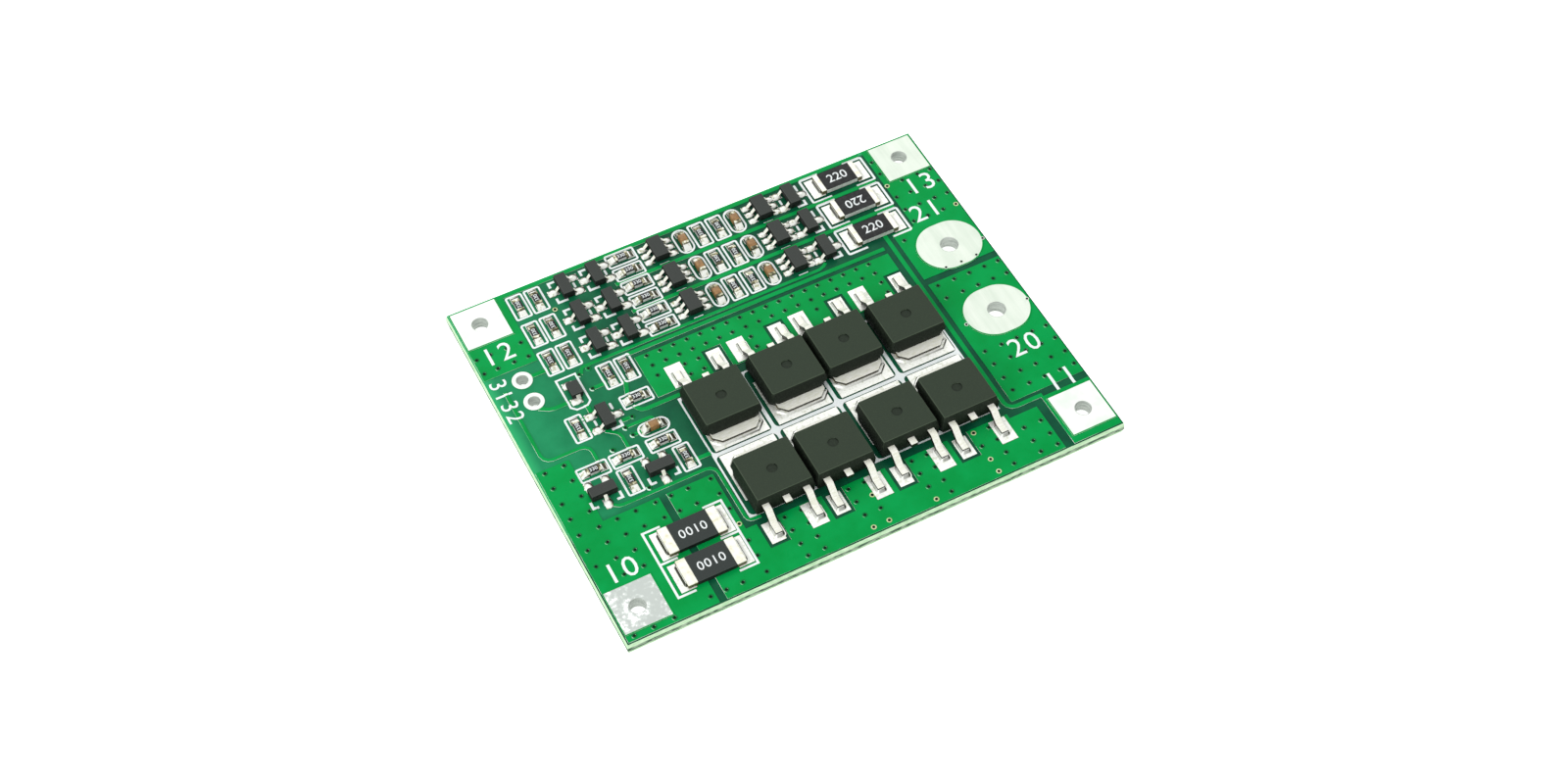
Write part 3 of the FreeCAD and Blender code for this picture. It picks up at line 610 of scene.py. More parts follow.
cap_tin = Finish("cap_tin", (233, 233, 223), 0.42, metallic=0.3)
cap_tones = (0.30, (226, 223, 196)), (0.42, (243, 242, 224)), (0.60, (251, 251, 240))
dark_flanked(cap_tin, cap_tin.noise(1900, detail=5.0), UP, 0.3, 0.7, (96, 90, 58), cap_tones)

chip_tin = Finish("chip_tin", (231, 230, 220), 0.42, metallic=0.2)
stained = (0.44, (70, 68, 42)), (0.52, (182, 178, 138)), (0.60, (250, 250, 236))
dark_flanked(chip_tin, chip_tin.noise(1700), (-0.3, -0.4, 1.0), 0.4, 0.7, (58, 54, 32), stained)

solder = solder_finish(
    "solder", (-0.25, -0.15, 1.0), 0.66, 0.88, (38, 35, 20), (224, 228, 212)
)
small_solder = solder_finish(
    "small_solder", (-0.4, -0.5, 0.8), 0.52, 0.76, (60, 58, 34), (190, 192, 158)
)

# %% [markdown]
# ### Epoxy, ceramic, glaze and print
#
# Moulded cases are a matt, slightly olive black with a fine grain. Chip resistors are white
# ceramic with a black glaze on top, and the capacitors are plain tan ceramic all through. The
# print is an opaque white ink with a faint cold tint.

# %% Moulded epoxy
def moulded_finish(name, side, edge, top, sunk=None):
    """Epoxy with painted shade on its upright sides and a painted highlight along its upper edges.
    """
    finish = Finish(name, top, 0.6, specular=0.15)
    grain = finish.noise(6500, detail=4.0)
    surface = top
    if sunk:
        # Painted shade in the sunk mark of the ejector pin.
        in_mark = finish.mix(finish.along("Z", 3.80, 3.88), sunk, top)
        surface = finish.mix(finish.along("Z", 3.70, 3.72), top, in_mark)
    painted_side_shade_and_edge_light = finish.mottled(finish.upness(), 0.25, side, 0.55, edge)
    shown = finish.mix(finish.spread(finish.upness(), 0.90, 0.97), painted_side_shade_and_edge_light, surface)
    finish.colour(finish.mix(finish.spread(grain, 0.45, 0.85, 0.0, 0.35), shown, edge))
    finish.roughness(finish.spread(grain, 0.3, 0.7, 0.5, 0.7))
    finish.bump(grain, 0.008, 0.5)
    return finish


epoxy = moulded_finish("moulded_epoxy", (25, 32, 24), (72, 84, 68), (49, 60, 47), (37, 46, 36))
chip_epoxy = moulded_finish("chip_epoxy", (26, 30, 28), (84, 88, 84), (62, 66, 63))
shunt_black = moulded_finish("shunt_coat", (24, 27, 27), (76, 82, 80), (54, 60, 58))


# %% Ceramics, glaze and print
def two_tone_finish(name, roughness, dark, light, patches, grain=None, **shine_settings):
    """A plain finish that wanders between two tones, some with a fine grain."""
    finish = Finish(name, light, roughness, **shine_settings)
    finish.colour(finish.mottled(finish.noise(patches), 0.3, dark, 0.7, light))
    if grain:
        finish.bump(finish.noise(grain), 0.006, 0.5)
    return finish


ceramic = two_tone_finish("white_ceramic", 0.55, (188, 191, 187), (222, 224, 219), 2500, 6000)
glaze = two_tone_finish("black_glaze", 0.32, (26, 27, 28), (46, 48, 48), 3000, 4200, specular=0.15)
tan_ceramic = two_tone_finish("tan_ceramic", 0.45, (130, 94, 52), (168, 128, 78), 2600, 5000)
ink = two_tone_finish("white_print", 0.5, (240, 250, 249), (252, 255, 255), 1800, 5200)

# %% Bores and vias
bore_metal = Finish("bore_plating", (150, 154, 148), 0.45, metallic=0.4)
rings = bore_metal.noise(900, detail=4.0, stretch=(1.0, 1.0, 5.0))
bore_metal.colour(bore_metal.mottled(rings, 0.35, (176, 184, 177), 0.65, (216, 222, 215)))
bore_metal.bump(rings, 0.02, 0.5)

tented = Finish("tented_via", (4, 128, 62), 0.35, specular=0.1)
# Painted highlight: the slope of each ring that faces the front-left lamp turns pale green, white
# in spots.
painted_ring_glint_spots = tented.spread(tented.noise(420), 0.40, 0.50)
painted_ring_highlight = tented.mix(painted_ring_glint_spots, (36, 160, 92), (226, 250, 236))
halo = tented.mottled(tented.noise(900), 0.3, (0, 112, 54), 0.7, (4, 132, 64))
to_lamp = tented.spread(tented.slope_towards(*TOWARDS_THE_LAMP), 0.20, 0.32)
tented.colour(tented.mix(to_lamp, halo, painted_ring_highlight))
pale_ring = two_tone_finish(
    "bare_via_ring", 0.4, (176, 190, 130), (226, 232, 190), 1600, metallic=0.3
)
# The pit's near-black is painted shade: it stands for the dark depth of the hole below.
pit = two_tone_finish("via_pit", 0.5, (3, 16, 10), (8, 34, 20), 2500, specular=0.1)
print("finishes:", len([m for m in bpy.data.materials if m.use_nodes]))

# %% [markdown]
# ## Solder mask over the copper
#
# The copper stands a little above the laminate and the mask flows over its edges, so every
# track has soft shoulders, and the mask's finish paints a highlight on those that face the
# lamp. The CAD foil has sharp edges. A copy of it is merged into clean faces and its edges are
# rounded with a bevel.

# %% Round the copper's shoulders
mask_relief = soften(from_node("copper_foil", "mask_over_copper"), 0.045)
finish_piece(mask_relief, mask, ["copper_foil"])
print("mask faces:", len(mask_relief.data.polygons))

# %% [markdown]
# ## Vias
#
# Vias are tiny plated holes that join the two faces of the board. The mask closes most of
# them, which leaves a low ring with a dark dimple. A few stay open and show a pale ring, some
# end a track and some sit in a land. One of each kind is shaped from a circle by insets and is
# then copied to its places, in rows, as they were drilled. Each via in the open board has a
# far end on the underside.

# %% Make one via
def make_via(ring, hole, rise, sink, ring_finish):
    """A low ring with a dark pit, from one disc. The first two sizes are radii."""
    via = add(bpy.ops.mesh.primitive_circle_add, vertices=12, radius=ring * MM, fill_type="NGON")
    wall = (ring - hole) * MM
    edit(via, everything=True)
    bpy.ops.mesh.inset(thickness=wall * 0.4)
    lift_selection(rise)
    bpy.ops.mesh.inset(thickness=wall * 0.4)
    bpy.ops.mesh.inset(thickness=wall * 0.2)
    lift_selection(-sink)
    close()
    shade(via, 60)
    for finish in (ring_finish, pit):
        via.data.materials.append(finish.material)
    for face in via.data.polygons:
        face.material_index = int(len(face.vertices) > 4)
    return via


closed_via = make_via(0.31, 0.17, 0.02, 0.016, tented)
open_via = make_via(0.29, 0.17, 0.02, 0.016, pale_ring)
track_via = make_via(0.34, 0.16, 0.09, 0.012, tented)
pad_via = make_via(0.22, 0.15, 0.005, 0.004, tin)
far_via = copy_at(closed_via)
far_via.rotation_euler.x = math.radians(180)
put(far_via)
print("faces in a via:", len(closed_via.data.polygons))

# %% Drill the rows
def row(xs, *ys):
    """Places at the same xs in one or more rows."""
    return [(x, y) for y in ys for x in xs]


def steps(start, pitch, count):
    """Evenly spaced places."""
    return [start + pitch * number for number in range(count)]


via_places = row(steps(-11.44, 1.549, 18), 7.86, 6.46)
via_places += row((-11.54, -8.4, -6.8, -0.7, 7.1, 14.9), 5.05)
via_places += row((-8.4, -6.85, -0.71, 14.9), 3.6)
via_places += row((-7.97, -6.1, -0.8, 1.0, 6.45, 8.2, 13.65, 15.45), -19.95, -21.5)
via_places += row((-7.97, -6.1, -0.8, 1.0, 6.45, 8.2), -16.5, -18.2)
via_places += row((13.65, 15.45), -16.5, -18.2) + row((18.6, 20.58), -18.2, -20.0, -21.5)
via_places += row((20.0, 22.0, 23.85, 25.7, 27.4), 1.86, 0.0, -8.0, -9.84, -11.8, -13.6, 3.6)
via_places += row((20.0, 27.5), 5.34, 7.1, -2.06, -4.06, -6.04) + [(19.9, 8.96), (27.45, 8.96)]
via_places += row((22.15, 23.9, 25.8, 27.4), 10.86, 12.74, 14.7, 16.6) + row((22.15,), 18.5, 20.4)
via_places += row((-26.85, -24.75), -0.76, -2.8, -4.9, -6.9)
via_places += row((-26.85, -24.7, -22.7, -20.7, -18.5, -16.8, -14.9, -12.4), -9.0, -11.0)
via_places += row((-26.9, -24.7, -22.7, -12.3), -13.05) + row((-24.8, -22.7, -12.3), -15.1)
via_places += row((-12.35,), -17.24, -19.2) + row((-18.5, -16.8, -15.0, -12.4), -21.26)
via_places += row((-26.9, -24.8, -22.6), -21.75) + row((-27.35, -25.8, -23.95, -22.35), 15.5, 13.5)
open_places = [(0.98, -18.2), (-0.71, -21.6), (1.04, -21.6), (6.4, -21.6), (13.7, -16.4)]
open_places += [(13.6, -19.96), (13.6, -21.6), (-12.3, -15.1), (22.0, 16.6), (27.4, 10.86)]
open_places += [(-17.4, 17.85)]


# %% Keep the closed vias clear of the open ones and of the terminals
def inside(x, y, low, high, margin):
    """Whether a place is inside a box, or within a margin of it."""
    return (
        low[0] - margin < x < high[0] + margin and low[1] - margin < y < high[1] + margin
    )


VIA_MARGIN, TERMINAL_MARGIN = 0.6, 0.2
taken = [(place, place, VIA_MARGIN) for place in open_places]
taken += [(*box_in_mm(name), TERMINAL_MARGIN) for name in nodes if name.startswith("terminal_")]
closed_places = [
    (x, y) for x, y in via_places if not any(inside(x, y, *box) for box in taken)
]
print("closed vias:", len(closed_places), "of", len(via_places))

# %% Drill the vias
track_ends = [(-17.5, 9.18), (-18.7, 8.9), (-18.2, 6.65), (-16.1, 1.56), (-17.3, 0.6)]
track_ends += [(-17.0, -0.56), (-19.6, -1.3), (-18.3, -7.1)]
pad_places = [(23.85, 3.55), (22.0, 3.62), (25.75, 3.62), (27.45, -4.06), (20.05, -4.06)]
pad_places += [(27.5, 5.3)]
drilled = [
    (closed_via, closed_places, COPPER),
    (open_via, open_places, COPPER),
    (pad_via, pad_places, LAND + 0.016),
    (track_via, track_ends, FACE),
    (far_via, closed_places + open_places + track_ends, UNDERSIDE),
]
pits = [copy_at(via, x, y, 0, level) for via, places, level in drilled for x, y in places]
vias = joined("vias", pits)
remove(closed_via, open_via, track_via, pad_via, far_via)
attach(vias, "root")
print("vias:", len(pits), "triangles:", triangles(vias))

# %% Lift the laminate's underside
board = from_node("laminate", "board")
edit(board)
pick(board, "faces", lambda face: face.normal.z < -0.9)
lift_selection(UNDERSIDE)
close()
soften(board, 0.03, segments=1)
finish_piece(board, laminate, ["laminate"])
print("board in mm:", [round(value / MM, 2) for value in board.dimensions])

# %% [markdown]
# ## Solder terminals
#
# Each terminal is a tinned pad on both faces with a plated hole through it. The upper pad is a
# softened copy of the CAD pad, and the same shape set into the underside makes the lower one.
# The plating is a thin tube in the bore.

# %% Dress the terminals
BORES = {  # radius, x and y
    "terminal_cell_minus": (0.9, -25.2, -18.9),
    "terminal_cell_one": (0.9, 25.2, -18.9),
    "terminal_cell_two": (0.9, -25.2, 19.7),
    "terminal_cell_plus": (0.9, 25.2, 19.7),
    "terminal_output_plus": (1.02, 23.9, 6.25),
    "terminal_output_minus": (1.02, 23.9, -3.77),
    "terminal_sense_one": (0.67, -24.2, 10.95),
    "terminal_sense_two": (0.67, -24.2, 7.93),
}
PLATING = 0.04


def plating(name, radius, x, y):
    """A thin tube of plating in a bore, open at both ends."""
    tube = add(
        bpy.ops.mesh.primitive_cylinder_add,
        vertices=40,
        radius=(radius - PLATING) * MM,
        depth=(LAND - PLATING) * MM,
        end_fill_type="NOTHING",
    )
    tube.name = name
    put(tube, x, y, level=LAND / 2)
    use_modifier(tube, "SOLIDIFY", thickness=PLATING * MM, offset=1)
    return shade(tube, 40)


for name, bore in BORES.items():
    upper_pad = soften(from_node(name, f"{name}_upper"), 0.04)
    lower_pad = copy_at(upper_pad, level=-FACE)
    terminal = joined(f"{name}_tinned", [upper_pad, lower_pad])
    finish = worn_tin if name == "terminal_cell_minus" else tin
    finish_piece(terminal, finish, [name])
    finish_piece(plating(f"{name}_plating", *bore), bore_metal)
print("terminals:", len(BORES), "depth in mm:", round(terminal.dimensions.z / MM, 2))

# %% [markdown]
# ## Power transistors
#
# All eight are alike, so one case and one frame are worked on and copied. The case's sharp
# CAD edges get a small radius, and the round mark of the mould's ejector pin is sunk into its
# top. The frame gets the slightly rounded edges of stamped metal.

# %% Model one case and one frame
case_low, case_high = box_in_mm("power_transistor_1_case")
case_middle = (case_low + case_high) / 2
case_master = soften(from_node("power_transistor_1_case", "case_master"), 0.09, segments=3)
pin = add(
    bpy.ops.mesh.primitive_cone_add,
    vertices=40,
    radius1=0.54 * MM,
    radius2=0.60 * MM,
    depth=0.24 * MM,
)
put(pin, case_middle.x, case_middle.y, level=case_high.z)
use_modifier(case_master, "BOOLEAN", operation="DIFFERENCE", object=pin, solver="EXACT")
remove(pin)
keep_faces_flat(case_master, 30)
frame_master = soften(from_node("power_transistor_1_frame", "frame_master"), 0.04)

# %% Copy them to the eight places
for master in (case_master, frame_master):
    put(master, -case_middle.x, -case_middle.y)
for number in range(1, 9):
    low, high = box_in_mm(f"power_transistor_{number}_case")
    middle = (low + high) / 2
    turn = 0 if number < 5 else 180
    for master, part, name, finish, slot in (
        (case_master, "case", "moulding", epoxy, "transistor_epoxy"),
        (frame_master, "frame", "metal", lead_tin, "transistor_frame"),
    ):
        piece = copy_at(master, middle.x, middle.y, turn)
        piece.name = f"transistor_{number}_{name}"
        finish_piece(piece, finish, [f"power_transistor_{number}_{part}"])
remove(case_master, frame_master)
print("power transistors:", number)

# %% [markdown]
# ## Resistors, capacitors and small packages
#
# The small parts come in rows, and each row is one CAD node. A softened copy of each node
# stands for it, with the finish of that part of the package.

# %% Dress the rows of small parts
SIX_LEAD_CHIPS = [f"{kind}_chip_{number}" for kind in ("guard", "balance") for number in (1, 2, 3)]
ROWS = [
    ("shunt_resistor_1_body", 0.05, shunt_black, "shunt_black"),
    ("shunt_resistor_2_body", 0.05, shunt_black, "shunt_black"),
    ("shunt_resistor_1_ends", 0.12, cap_tin, "chip_end"),
    ("shunt_resistor_2_ends", 0.12, cap_tin, "chip_end"),
    ("balance_resistor_cores", 0.02, ceramic, "chip_ceramic"),
    ("balance_resistor_coats", 0.02, glaze, "chip_coat"),
    ("balance_resistor_ends", 0.06, cap_tin, "chip_end"),
    ("chip_resistor_cores", 0.015, ceramic, "chip_ceramic"),
    ("chip_resistor_coats", 0.01, glaze, "chip_coat"),
    ("chip_resistor_ends", 0.05, chip_tin, "chip_end"),
    ("capacitor_bodies", 0.03, tan_ceramic, "capacitor_ceramic"),
    ("capacitor_ends", 0.06, chip_tin, "chip_end"),
    ("small_transistor_cases", 0.05, chip_epoxy, "chip_epoxy"),
    ("small_transistor_leads", 0.02, lead_tin, "small_lead"),
    ("diode_body", 0.05, chip_epoxy, "chip_epoxy"),
    ("diode_leads", 0.02, lead_tin, "small_lead"),
]
ROWS += [(f"{chip}_case", 0.05, chip_epoxy, "chip_epoxy") for chip in SIX_LEAD_CHIPS]
ROWS += [(f"{chip}_leads", 0.02, lead_tin, "small_lead") for chip in SIX_LEAD_CHIPS]
for name, radius, finish, slot in ROWS:
    piece = soften(from_node(name, f"{name}_dressed"), radius)
    finish_piece(piece, finish, [name])
print("rows of small parts:", len(ROWS))

# %% Tin the lands
lands = soften(from_node("component_lands", "tinned_lands"), 0.04)
finish_piece(lands, solder, ["component_lands"])
print("triangles in the lands:", triangles(lands))

# %% [markdown]
# ## Where the small parts stand
#
# A row of small parts is one CAD node, but its pieces don't touch. Walking from face to face
# finds each loose piece, and so the place of every part. The print and the solder take their
# places from these, so they always fit.

# %% Find the loose pieces of a row
def loose_pieces(node_name):
    """The lowest and highest corner of each loose piece of a CAD node."""
    twin = from_node(node_name, "loose_pieces")
    mesh = bmesh.new()
    mesh.from_mesh(twin.data)
    waiting = set(mesh.verts)
    corners = []
    while waiting:
        edge_of_walk = [waiting.pop()]
        piece = []
        while edge_of_walk:
            vertex = edge_of_walk.pop()
            piece.append(vertex.co / MM)
            reached = {edge.other_vert(vertex) for edge in vertex.link_edges} & waiting
            waiting -= reached
            edge_of_walk.extend(reached)
        low = Vector([min(point[axis] for point in piece) for axis in range(3)])
        high = Vector([max(point[axis] for point in piece) for axis in range(3)])
        corners.append((low, high))
    mesh.free()
    remove(twin)
    return sorted(corners, key=lambda pair: (round(pair[0].x, 3), round(pair[0].y, 3)))


def lies_along_x(low, high):
    return high.x - low.x > high.y - low.y


chips = loose_pieces("chip_resistor_cores")
capacitors = loose_pieces("capacitor_bodies")
trios = loose_pieces("small_transistor_cases")
print("chips, capacitors, three-lead packages:", len(chips), len(capacitors), len(trios))

# %% [markdown]
# ## Print
#
# The white print tells where each part goes: a frame round each resistor, a rounded one round
# each capacitor, corners round the transistors. Every mark starts as a flat outline, well above
# the board. It is cut finely and then pressed down, so that it follows the steps at the
# copper's edges.

# %% Draw frames
ABOVE = 3.0


def flat_shape(length, width, corner, x, y, segments=5, front_only=False):
    """A flat rectangle with rounded corners, all four or the front ones, above the board."""
    shape = add(bpy.ops.mesh.primitive_plane_add, size=1)
    put(shape, x, y, level=ABOVE, scale=(length * MM, width * MM, 1))
    edit(shape, "VERT")
    pick(shape, "verts", lambda v: corner > 0 and (not front_only or v.co.y < y * MM))
    bpy.ops.mesh.bevel(offset=corner * MM, segments=segments, affect="VERTICES")
    close()
    return shape


def printed_frame(length, width, stroke, corner, x, y, segments=5, front_only=False):
    """The outline of a rounded rectangle. The sizes are those of its outer edge."""
    shape = flat_shape(length, width, corner, x, y, segments, front_only)
    edit(shape, everything=True)
    bpy.ops.mesh.inset(thickness=stroke * MM, use_even_offset=True)
    bpy.ops.mesh.delete(type="FACE")
    close()
    return shape


def without_band(shape, axis, low, high):
    """Takes the strokes away between two places along an axis."""
    normal = Vector((0, 0, 0))
    normal[axis] = 1
    for place in (low, high):
        edit(shape, "VERT", everything=True)
        bpy.ops.mesh.bisect(plane_co=normal * place * MM, plane_no=normal)
        close()
    edit(shape)
    pick(shape, "faces", lambda f: low * MM < f.calc_center_median()[axis] < high * MM)
    bpy.ops.mesh.delete(type="FACE")
    close()
    return shape


# %% Draw strokes
def stroke_between(start_x, start_y, end_x, end_y, width):
    """A straight printed stroke with round ends."""
    start, end = Vector((start_x, start_y)), Vector((end_x, end_y))
    way, middle = end - start, (start + end) / 2
    stroke = flat_shape(way.length + width, width, width * 0.49, 0, 0)
    return put(stroke, middle.x, middle.y, math.degrees(math.atan2(way.y, way.x)))


def angle_mark(x, y, along, up, width=0.28):
    """Two strokes that meet in a corner. The second one starts where the first one ends."""
    half = width / 2
    first = abs(along) + half
    second = abs(up) - half
    return [
        flat_shape(first, width, 0, x + math.copysign(first / 2 - half, along), y),
        flat_shape(width, second, 0, x, y + math.copysign(half + second / 2, up)),
    ]


# %% Frames of the chips and capacitors
marks = []
for parts, length, width, stroke, corner in (
    (chips, 3.45, 1.9, 0.22, 0.26),
    (capacitors, 3.5, 1.87, 0.2, 0.9),
):
    for low, high in parts:
        middle = (low + high) / 2
        sides = (length, width) if lies_along_x(low, high) else (width, length)
        marks.append(printed_frame(*sides, stroke, corner, middle.x, middle.y))
print("frames:", len(marks))


# %% Frame the power transistors
def cut_corners(shape, chosen, offset, segments):
    """Bevels the vertices that the rule accepts."""
    edit(shape, "VERT")
    pick(shape, "verts", chosen)
    bpy.ops.mesh.bevel(offset=offset * MM, segments=segments, affect="VERTICES")
    close()


def printed_grid(lefts, fronts, stroke, corner):
    """A grid of strokes with rounded windows. Where four strokes meet, a spot stays bare."""
    columns, rows = len(lefts) - 1, len(fronts) - 1
    grid = add(bpy.ops.mesh.primitive_grid_add, x_subdivisions=columns, y_subdivisions=rows, size=2)
    for vertex in grid.data.vertices:
        column = round((vertex.co.x + 1) / 2 * columns)
        line = round((vertex.co.y + 1) / 2 * rows)
        vertex.co = Vector((lefts[column], fronts[line], ABOVE)) * MM
    edit(grid, everything=True)
    bpy.ops.mesh.inset(thickness=stroke / 2 * MM, use_individual=True)
    windows = [face.index for face in bmesh.from_edit_mesh(grid.data).faces if face.select]
    close()
    corners = {number for index in windows for number in grid.data.polygons[index].vertices}
    crossings = [Vector((x, y, ABOVE)) * MM for x in lefts[1:-1] for y in fronts[1:-1]]
    centres = [
        Vector(((left + right) / 2, (front + back) / 2, ABOVE)) * MM
        for left, right in zip(lefts, lefts[1:])
        for front, back in zip(fronts, fronts[1:])
    ]

    def near(point, places, reach):
        return any((point - place).length < reach * MM for place in places)

    cut_corners(grid, lambda v: v.index in corners, corner, 4)
    cut_corners(grid, lambda v: near(v.co, crossings, 0.001), 0.2, 1)
    edit(grid)
    pick(
        grid,
        "faces",
        lambda f: near(f.calc_center_median(), centres, 1)
        or near(f.calc_center_median(), crossings, 0.1),
    )
    bpy.ops.mesh.delete(type="FACE")
    close()
    return grid


marks.append(
    printed_grid([-11.06, -3.87, 3.36, 10.56, 17.66], [-15.0, -6.7, 1.4], stroke=0.4, corner=0.5)
)

# %% Frame the large resistors
X_AXIS, Y_AXIS = 0, 1
SHUNT_GAP = (-19.4, -14.7)
SHARED_SIDE = (-15.95, -15.0)  # the two shunts' frames touch, so one has no back side
BALANCE_GAP = (16.0, 19.1)
back_frame = printed_frame(8.9, 4.3, 0.25, 0, -17.0, -13.8)
front_frame = printed_frame(8.9, 4.4, 0.25, 0, -17.0, -17.9)
for shunt_frame in (back_frame, front_frame):
    marks.append(without_band(shunt_frame, X_AXIS, *SHUNT_GAP))
without_band(front_frame, Y_AXIS, *SHARED_SIDE)
for y in (19.95, 15.85, 11.75):
    balance_frame = printed_frame(7.9, 3.75, 0.26, 0.3, 17.55, y)
    marks.append(without_band(balance_frame, X_AXIS, *BALANCE_GAP))
print("frames so far:", len(marks))

# %% Corners of the three-lead packages
def marks_round(middle, strokes, angles=()):
    """Strokes as x, y, x, y, width and angles as x, y, along, up, from a part's middle."""
    x, y = middle.x, middle.y
    made = [stroke_between(x + a, y + b, x + c, y + d, width) for a, b, c, d, width in strokes]
    for across, along, *arms in angles:
        made += angle_mark(x + across, y + along, *arms)
    return made


for low, high in trios:
    middle = (low + high) / 2
    if not lies_along_x(low, high):
        if middle.x > 0:
            strokes = [(1.2, 1.4, 1.2, 0.7, 0.26), (-1.2, 0.25, -1.2, -0.25, 0.26)]
            angles = [(1.2, -1.45, -1.0, 0.65)]
        elif middle.y > 9:
            strokes = [(1.15, 0.25, 1.15, -0.25, 0.26)]
            angles = [(-1.3, 1.4, 0.7, -0.65), (-1.3, -1.45, 1.1, 0.65)]
        else:
            strokes = [(1.15, 1.5, 1.15, 0.9, 0.28), (-1.15, 0.25, -1.15, -0.25, 0.26)]
            angles = [(1.2, -1.5, -1.2, 0.7)]
    elif middle.y < 0:
        strokes = [(side * 0.55, 1.2, side * 1.4, 1.2, 0.2) for side in (-1, 1)]
        angles = [(side * 1.6, -1.25, -side * 0.6, 0.8) for side in (-1, 1)]
    else:
        continue
    marks += marks_round(middle, strokes, angles)

# %% Marks of the six-lead packages and the diode
for chip in SIX_LEAD_CHIPS:
    low, high = box_in_mm(f"{chip}_case")
    marks += marks_round((low + high) / 2, [(-0.5, -1.75, 0.5, -1.75, 0.12)])
marks.append(printed_frame(2.4, 4.5, 0.22, 0.55, -20.1, 7.1, segments=1, front_only=True))
print("marks:", len(marks))

# %% [markdown]
# ### Numbers
#
# Plain numbers stand beside the terminals: 10 to 13 for the cells from the lowest to the
# highest, 20 and 21 for the output, 31 and 32 for the sense wires. They are the font's own
# outlines turned into a mesh, and they are cut more finely than the frames, because some cross
# a track.

# %% Write the terminals' numbers
def cut_finely(obj, longest):
    """Halves every edge that is longer than a length, again and again."""
    while True:
        edit(obj, "EDGE")
        count = pick(obj, "edges", lambda line: line.calc_length() > longest * MM)
        if count:
            bpy.ops.mesh.subdivide(number_cuts=1)
        close()
        if not count:
            return obj


FONT_SIZE_PER_HEIGHT = 1.38


def number_mark(text, height, x, y, turn=0.0, spacing=1.0, bold=0.0):
    """A number as a flat mesh, with its middle at a place."""
    bpy.ops.object.select_all(action="DESELECT")
    bpy.ops.object.text_add()
    words = bpy.context.object
    words.data.body = text
    words.data.align_x = "CENTER"
    words.data.align_y = "CENTER"
    words.data.size = height * FONT_SIZE_PER_HEIGHT * MM
    words.data.space_character = spacing
    words.data.offset = bold * MM
    words.data.resolution_u = 3
    bpy.ops.object.convert(target="MESH")
    return put(bpy.context.object, x, y, turn, ABOVE)


NUMBERS = [
    ("12", 2.4, -25.1, 15.1, 0),
    ("13", 2.4, 25.4, 15.15, 0),
    ("21", 2.4, 24.0, 11.45, 0),
    ("20", 2.4, 24.1, -9.2, 0),
    ("11", 2.4, 25.2, -14.75, 0),
    ("10", 2.4, -24.9, -14.65, 0),
    ("31", 1.9, -26.75, 10.8, -90),
    ("32", 1.9, -26.75, 7.75, -90),
]
marks += [cut_finely(number_mark(*number, spacing=1.15), 0.08) for number in NUMBERS]
print("numbers:", len(NUMBERS))


# %% Press the print onto the board
def press_down(obj, onto, lift):
    """Lays a flat shape on what is below it, and gives it a little thickness."""
    use_modifier(
        obj,
        "SHRINKWRAP",
        target=onto,
        wrap_method="PROJECT",
        use_project_z=True,
        use_negative_direction=True,
        use_positive_direction=False,
        wrap_mode="ABOVE_SURFACE",
        offset=lift * MM,
    )
    return use_modifier(obj, "SOLIDIFY", thickness=0.012 * MM, offset=-1)


ground = joined("ground", [copy_at(board), copy_at(mask_relief)])
board_print = joined("board_print", marks)
press_down(cut_finely(board_print, 0.2), ground, 0.024)
finish_piece(board_print, ink)
remove(ground)
top = max(vertex.co.z for vertex in board_print.data.vertices) / MM
print("triangles in the print:", triangles(board_print), "top in mm:", round(top, 3))

# %% [markdown]
# ### The mask's rims
#
# The mask laps over the edges of the terminals' pads, as it does on any board, so a thin green
# line runs round each pad.

# %% Lap the mask over the pads
rims = []
for name in BORES:
    if "sense" in name:
        continue
    low, high = box_in_mm(name)
    middle, length, width = (low + high) / 2, high.x - low.x, high.y - low.y
    corner, segments = (width / 2 - 0.005, 24) if "output" in name else (0, 1)
    rims.append(printed_frame(length, width, 0.12, corner, middle.x, middle.y, segments))
mask_rims = put(joined("mask_rims", rims), level=LAND + 0.015 - ABOVE)
use_modifier(mask_rims, "SOLIDIFY", thickness=0.03 * MM, offset=-1)
finish_piece(mask_rims, mask)
print("rims:", len(rims))

# %% [markdown]
# ## Solder
#
# Melted solder climbs the ends of each part and freezes as a slope. On the small parts it also
# hides the land, so the land and its solder are modelled as one low, spreading piece. Its
# foot has the size of the land and its top is as wide as the end that it holds. Round the
# power parts it stands in a hollow curve, gentle outside and steep at the metal.

# %% Shape the solder
def solder_slope(foot, top=None, height=0.05, shift=0.0):
    """A four-sided heap: its foot and top as lengths and widths, with the top moved along X."""
    top = top or foot
    heap = add(bpy.ops.mesh.primitive_cube_add, size=1)
    put(heap, level=height / 2, scale=(foot[0] * MM, foot[1] * MM, height * MM))
    edit(heap)
    pick(heap, "faces", lambda face: face.normal.z > 0.9)
    bpy.ops.transform.resize(value=(top[0] / foot[0], top[1] / foot[1], 1))
    bpy.ops.transform.translate(value=(shift * MM, 0, 0))
    close()
    return heap


def solder_dome(length, width, height):
    """A low rounded drop of solder."""
    dome = add(bpy.ops.mesh.primitive_uv_sphere_add, segments=16, ring_count=8, radius=0.5)
    put(dome, scale=(length * MM, width * MM, height * 2 * MM))
    edit(dome, everything=True)
    bpy.ops.mesh.bisect(plane_co=(0, 0, 0), plane_no=(0, 0, 1), clear_inner=True, use_fill=True)
    close()
    return dome


def meniscus(length, width, corner, steps, segments=4, front_only=False):
    """A hollow-sided heap: its outline, then steps inwards and upwards."""
    heap = put(flat_shape(length, width, corner, 0, 0, segments, front_only), level=-ABOVE)
    edit(heap, everything=True)
    for inwards, upwards in steps:
        bpy.ops.mesh.inset(thickness=inwards * MM)
        lift_selection(upwards)
    close()
    return heap


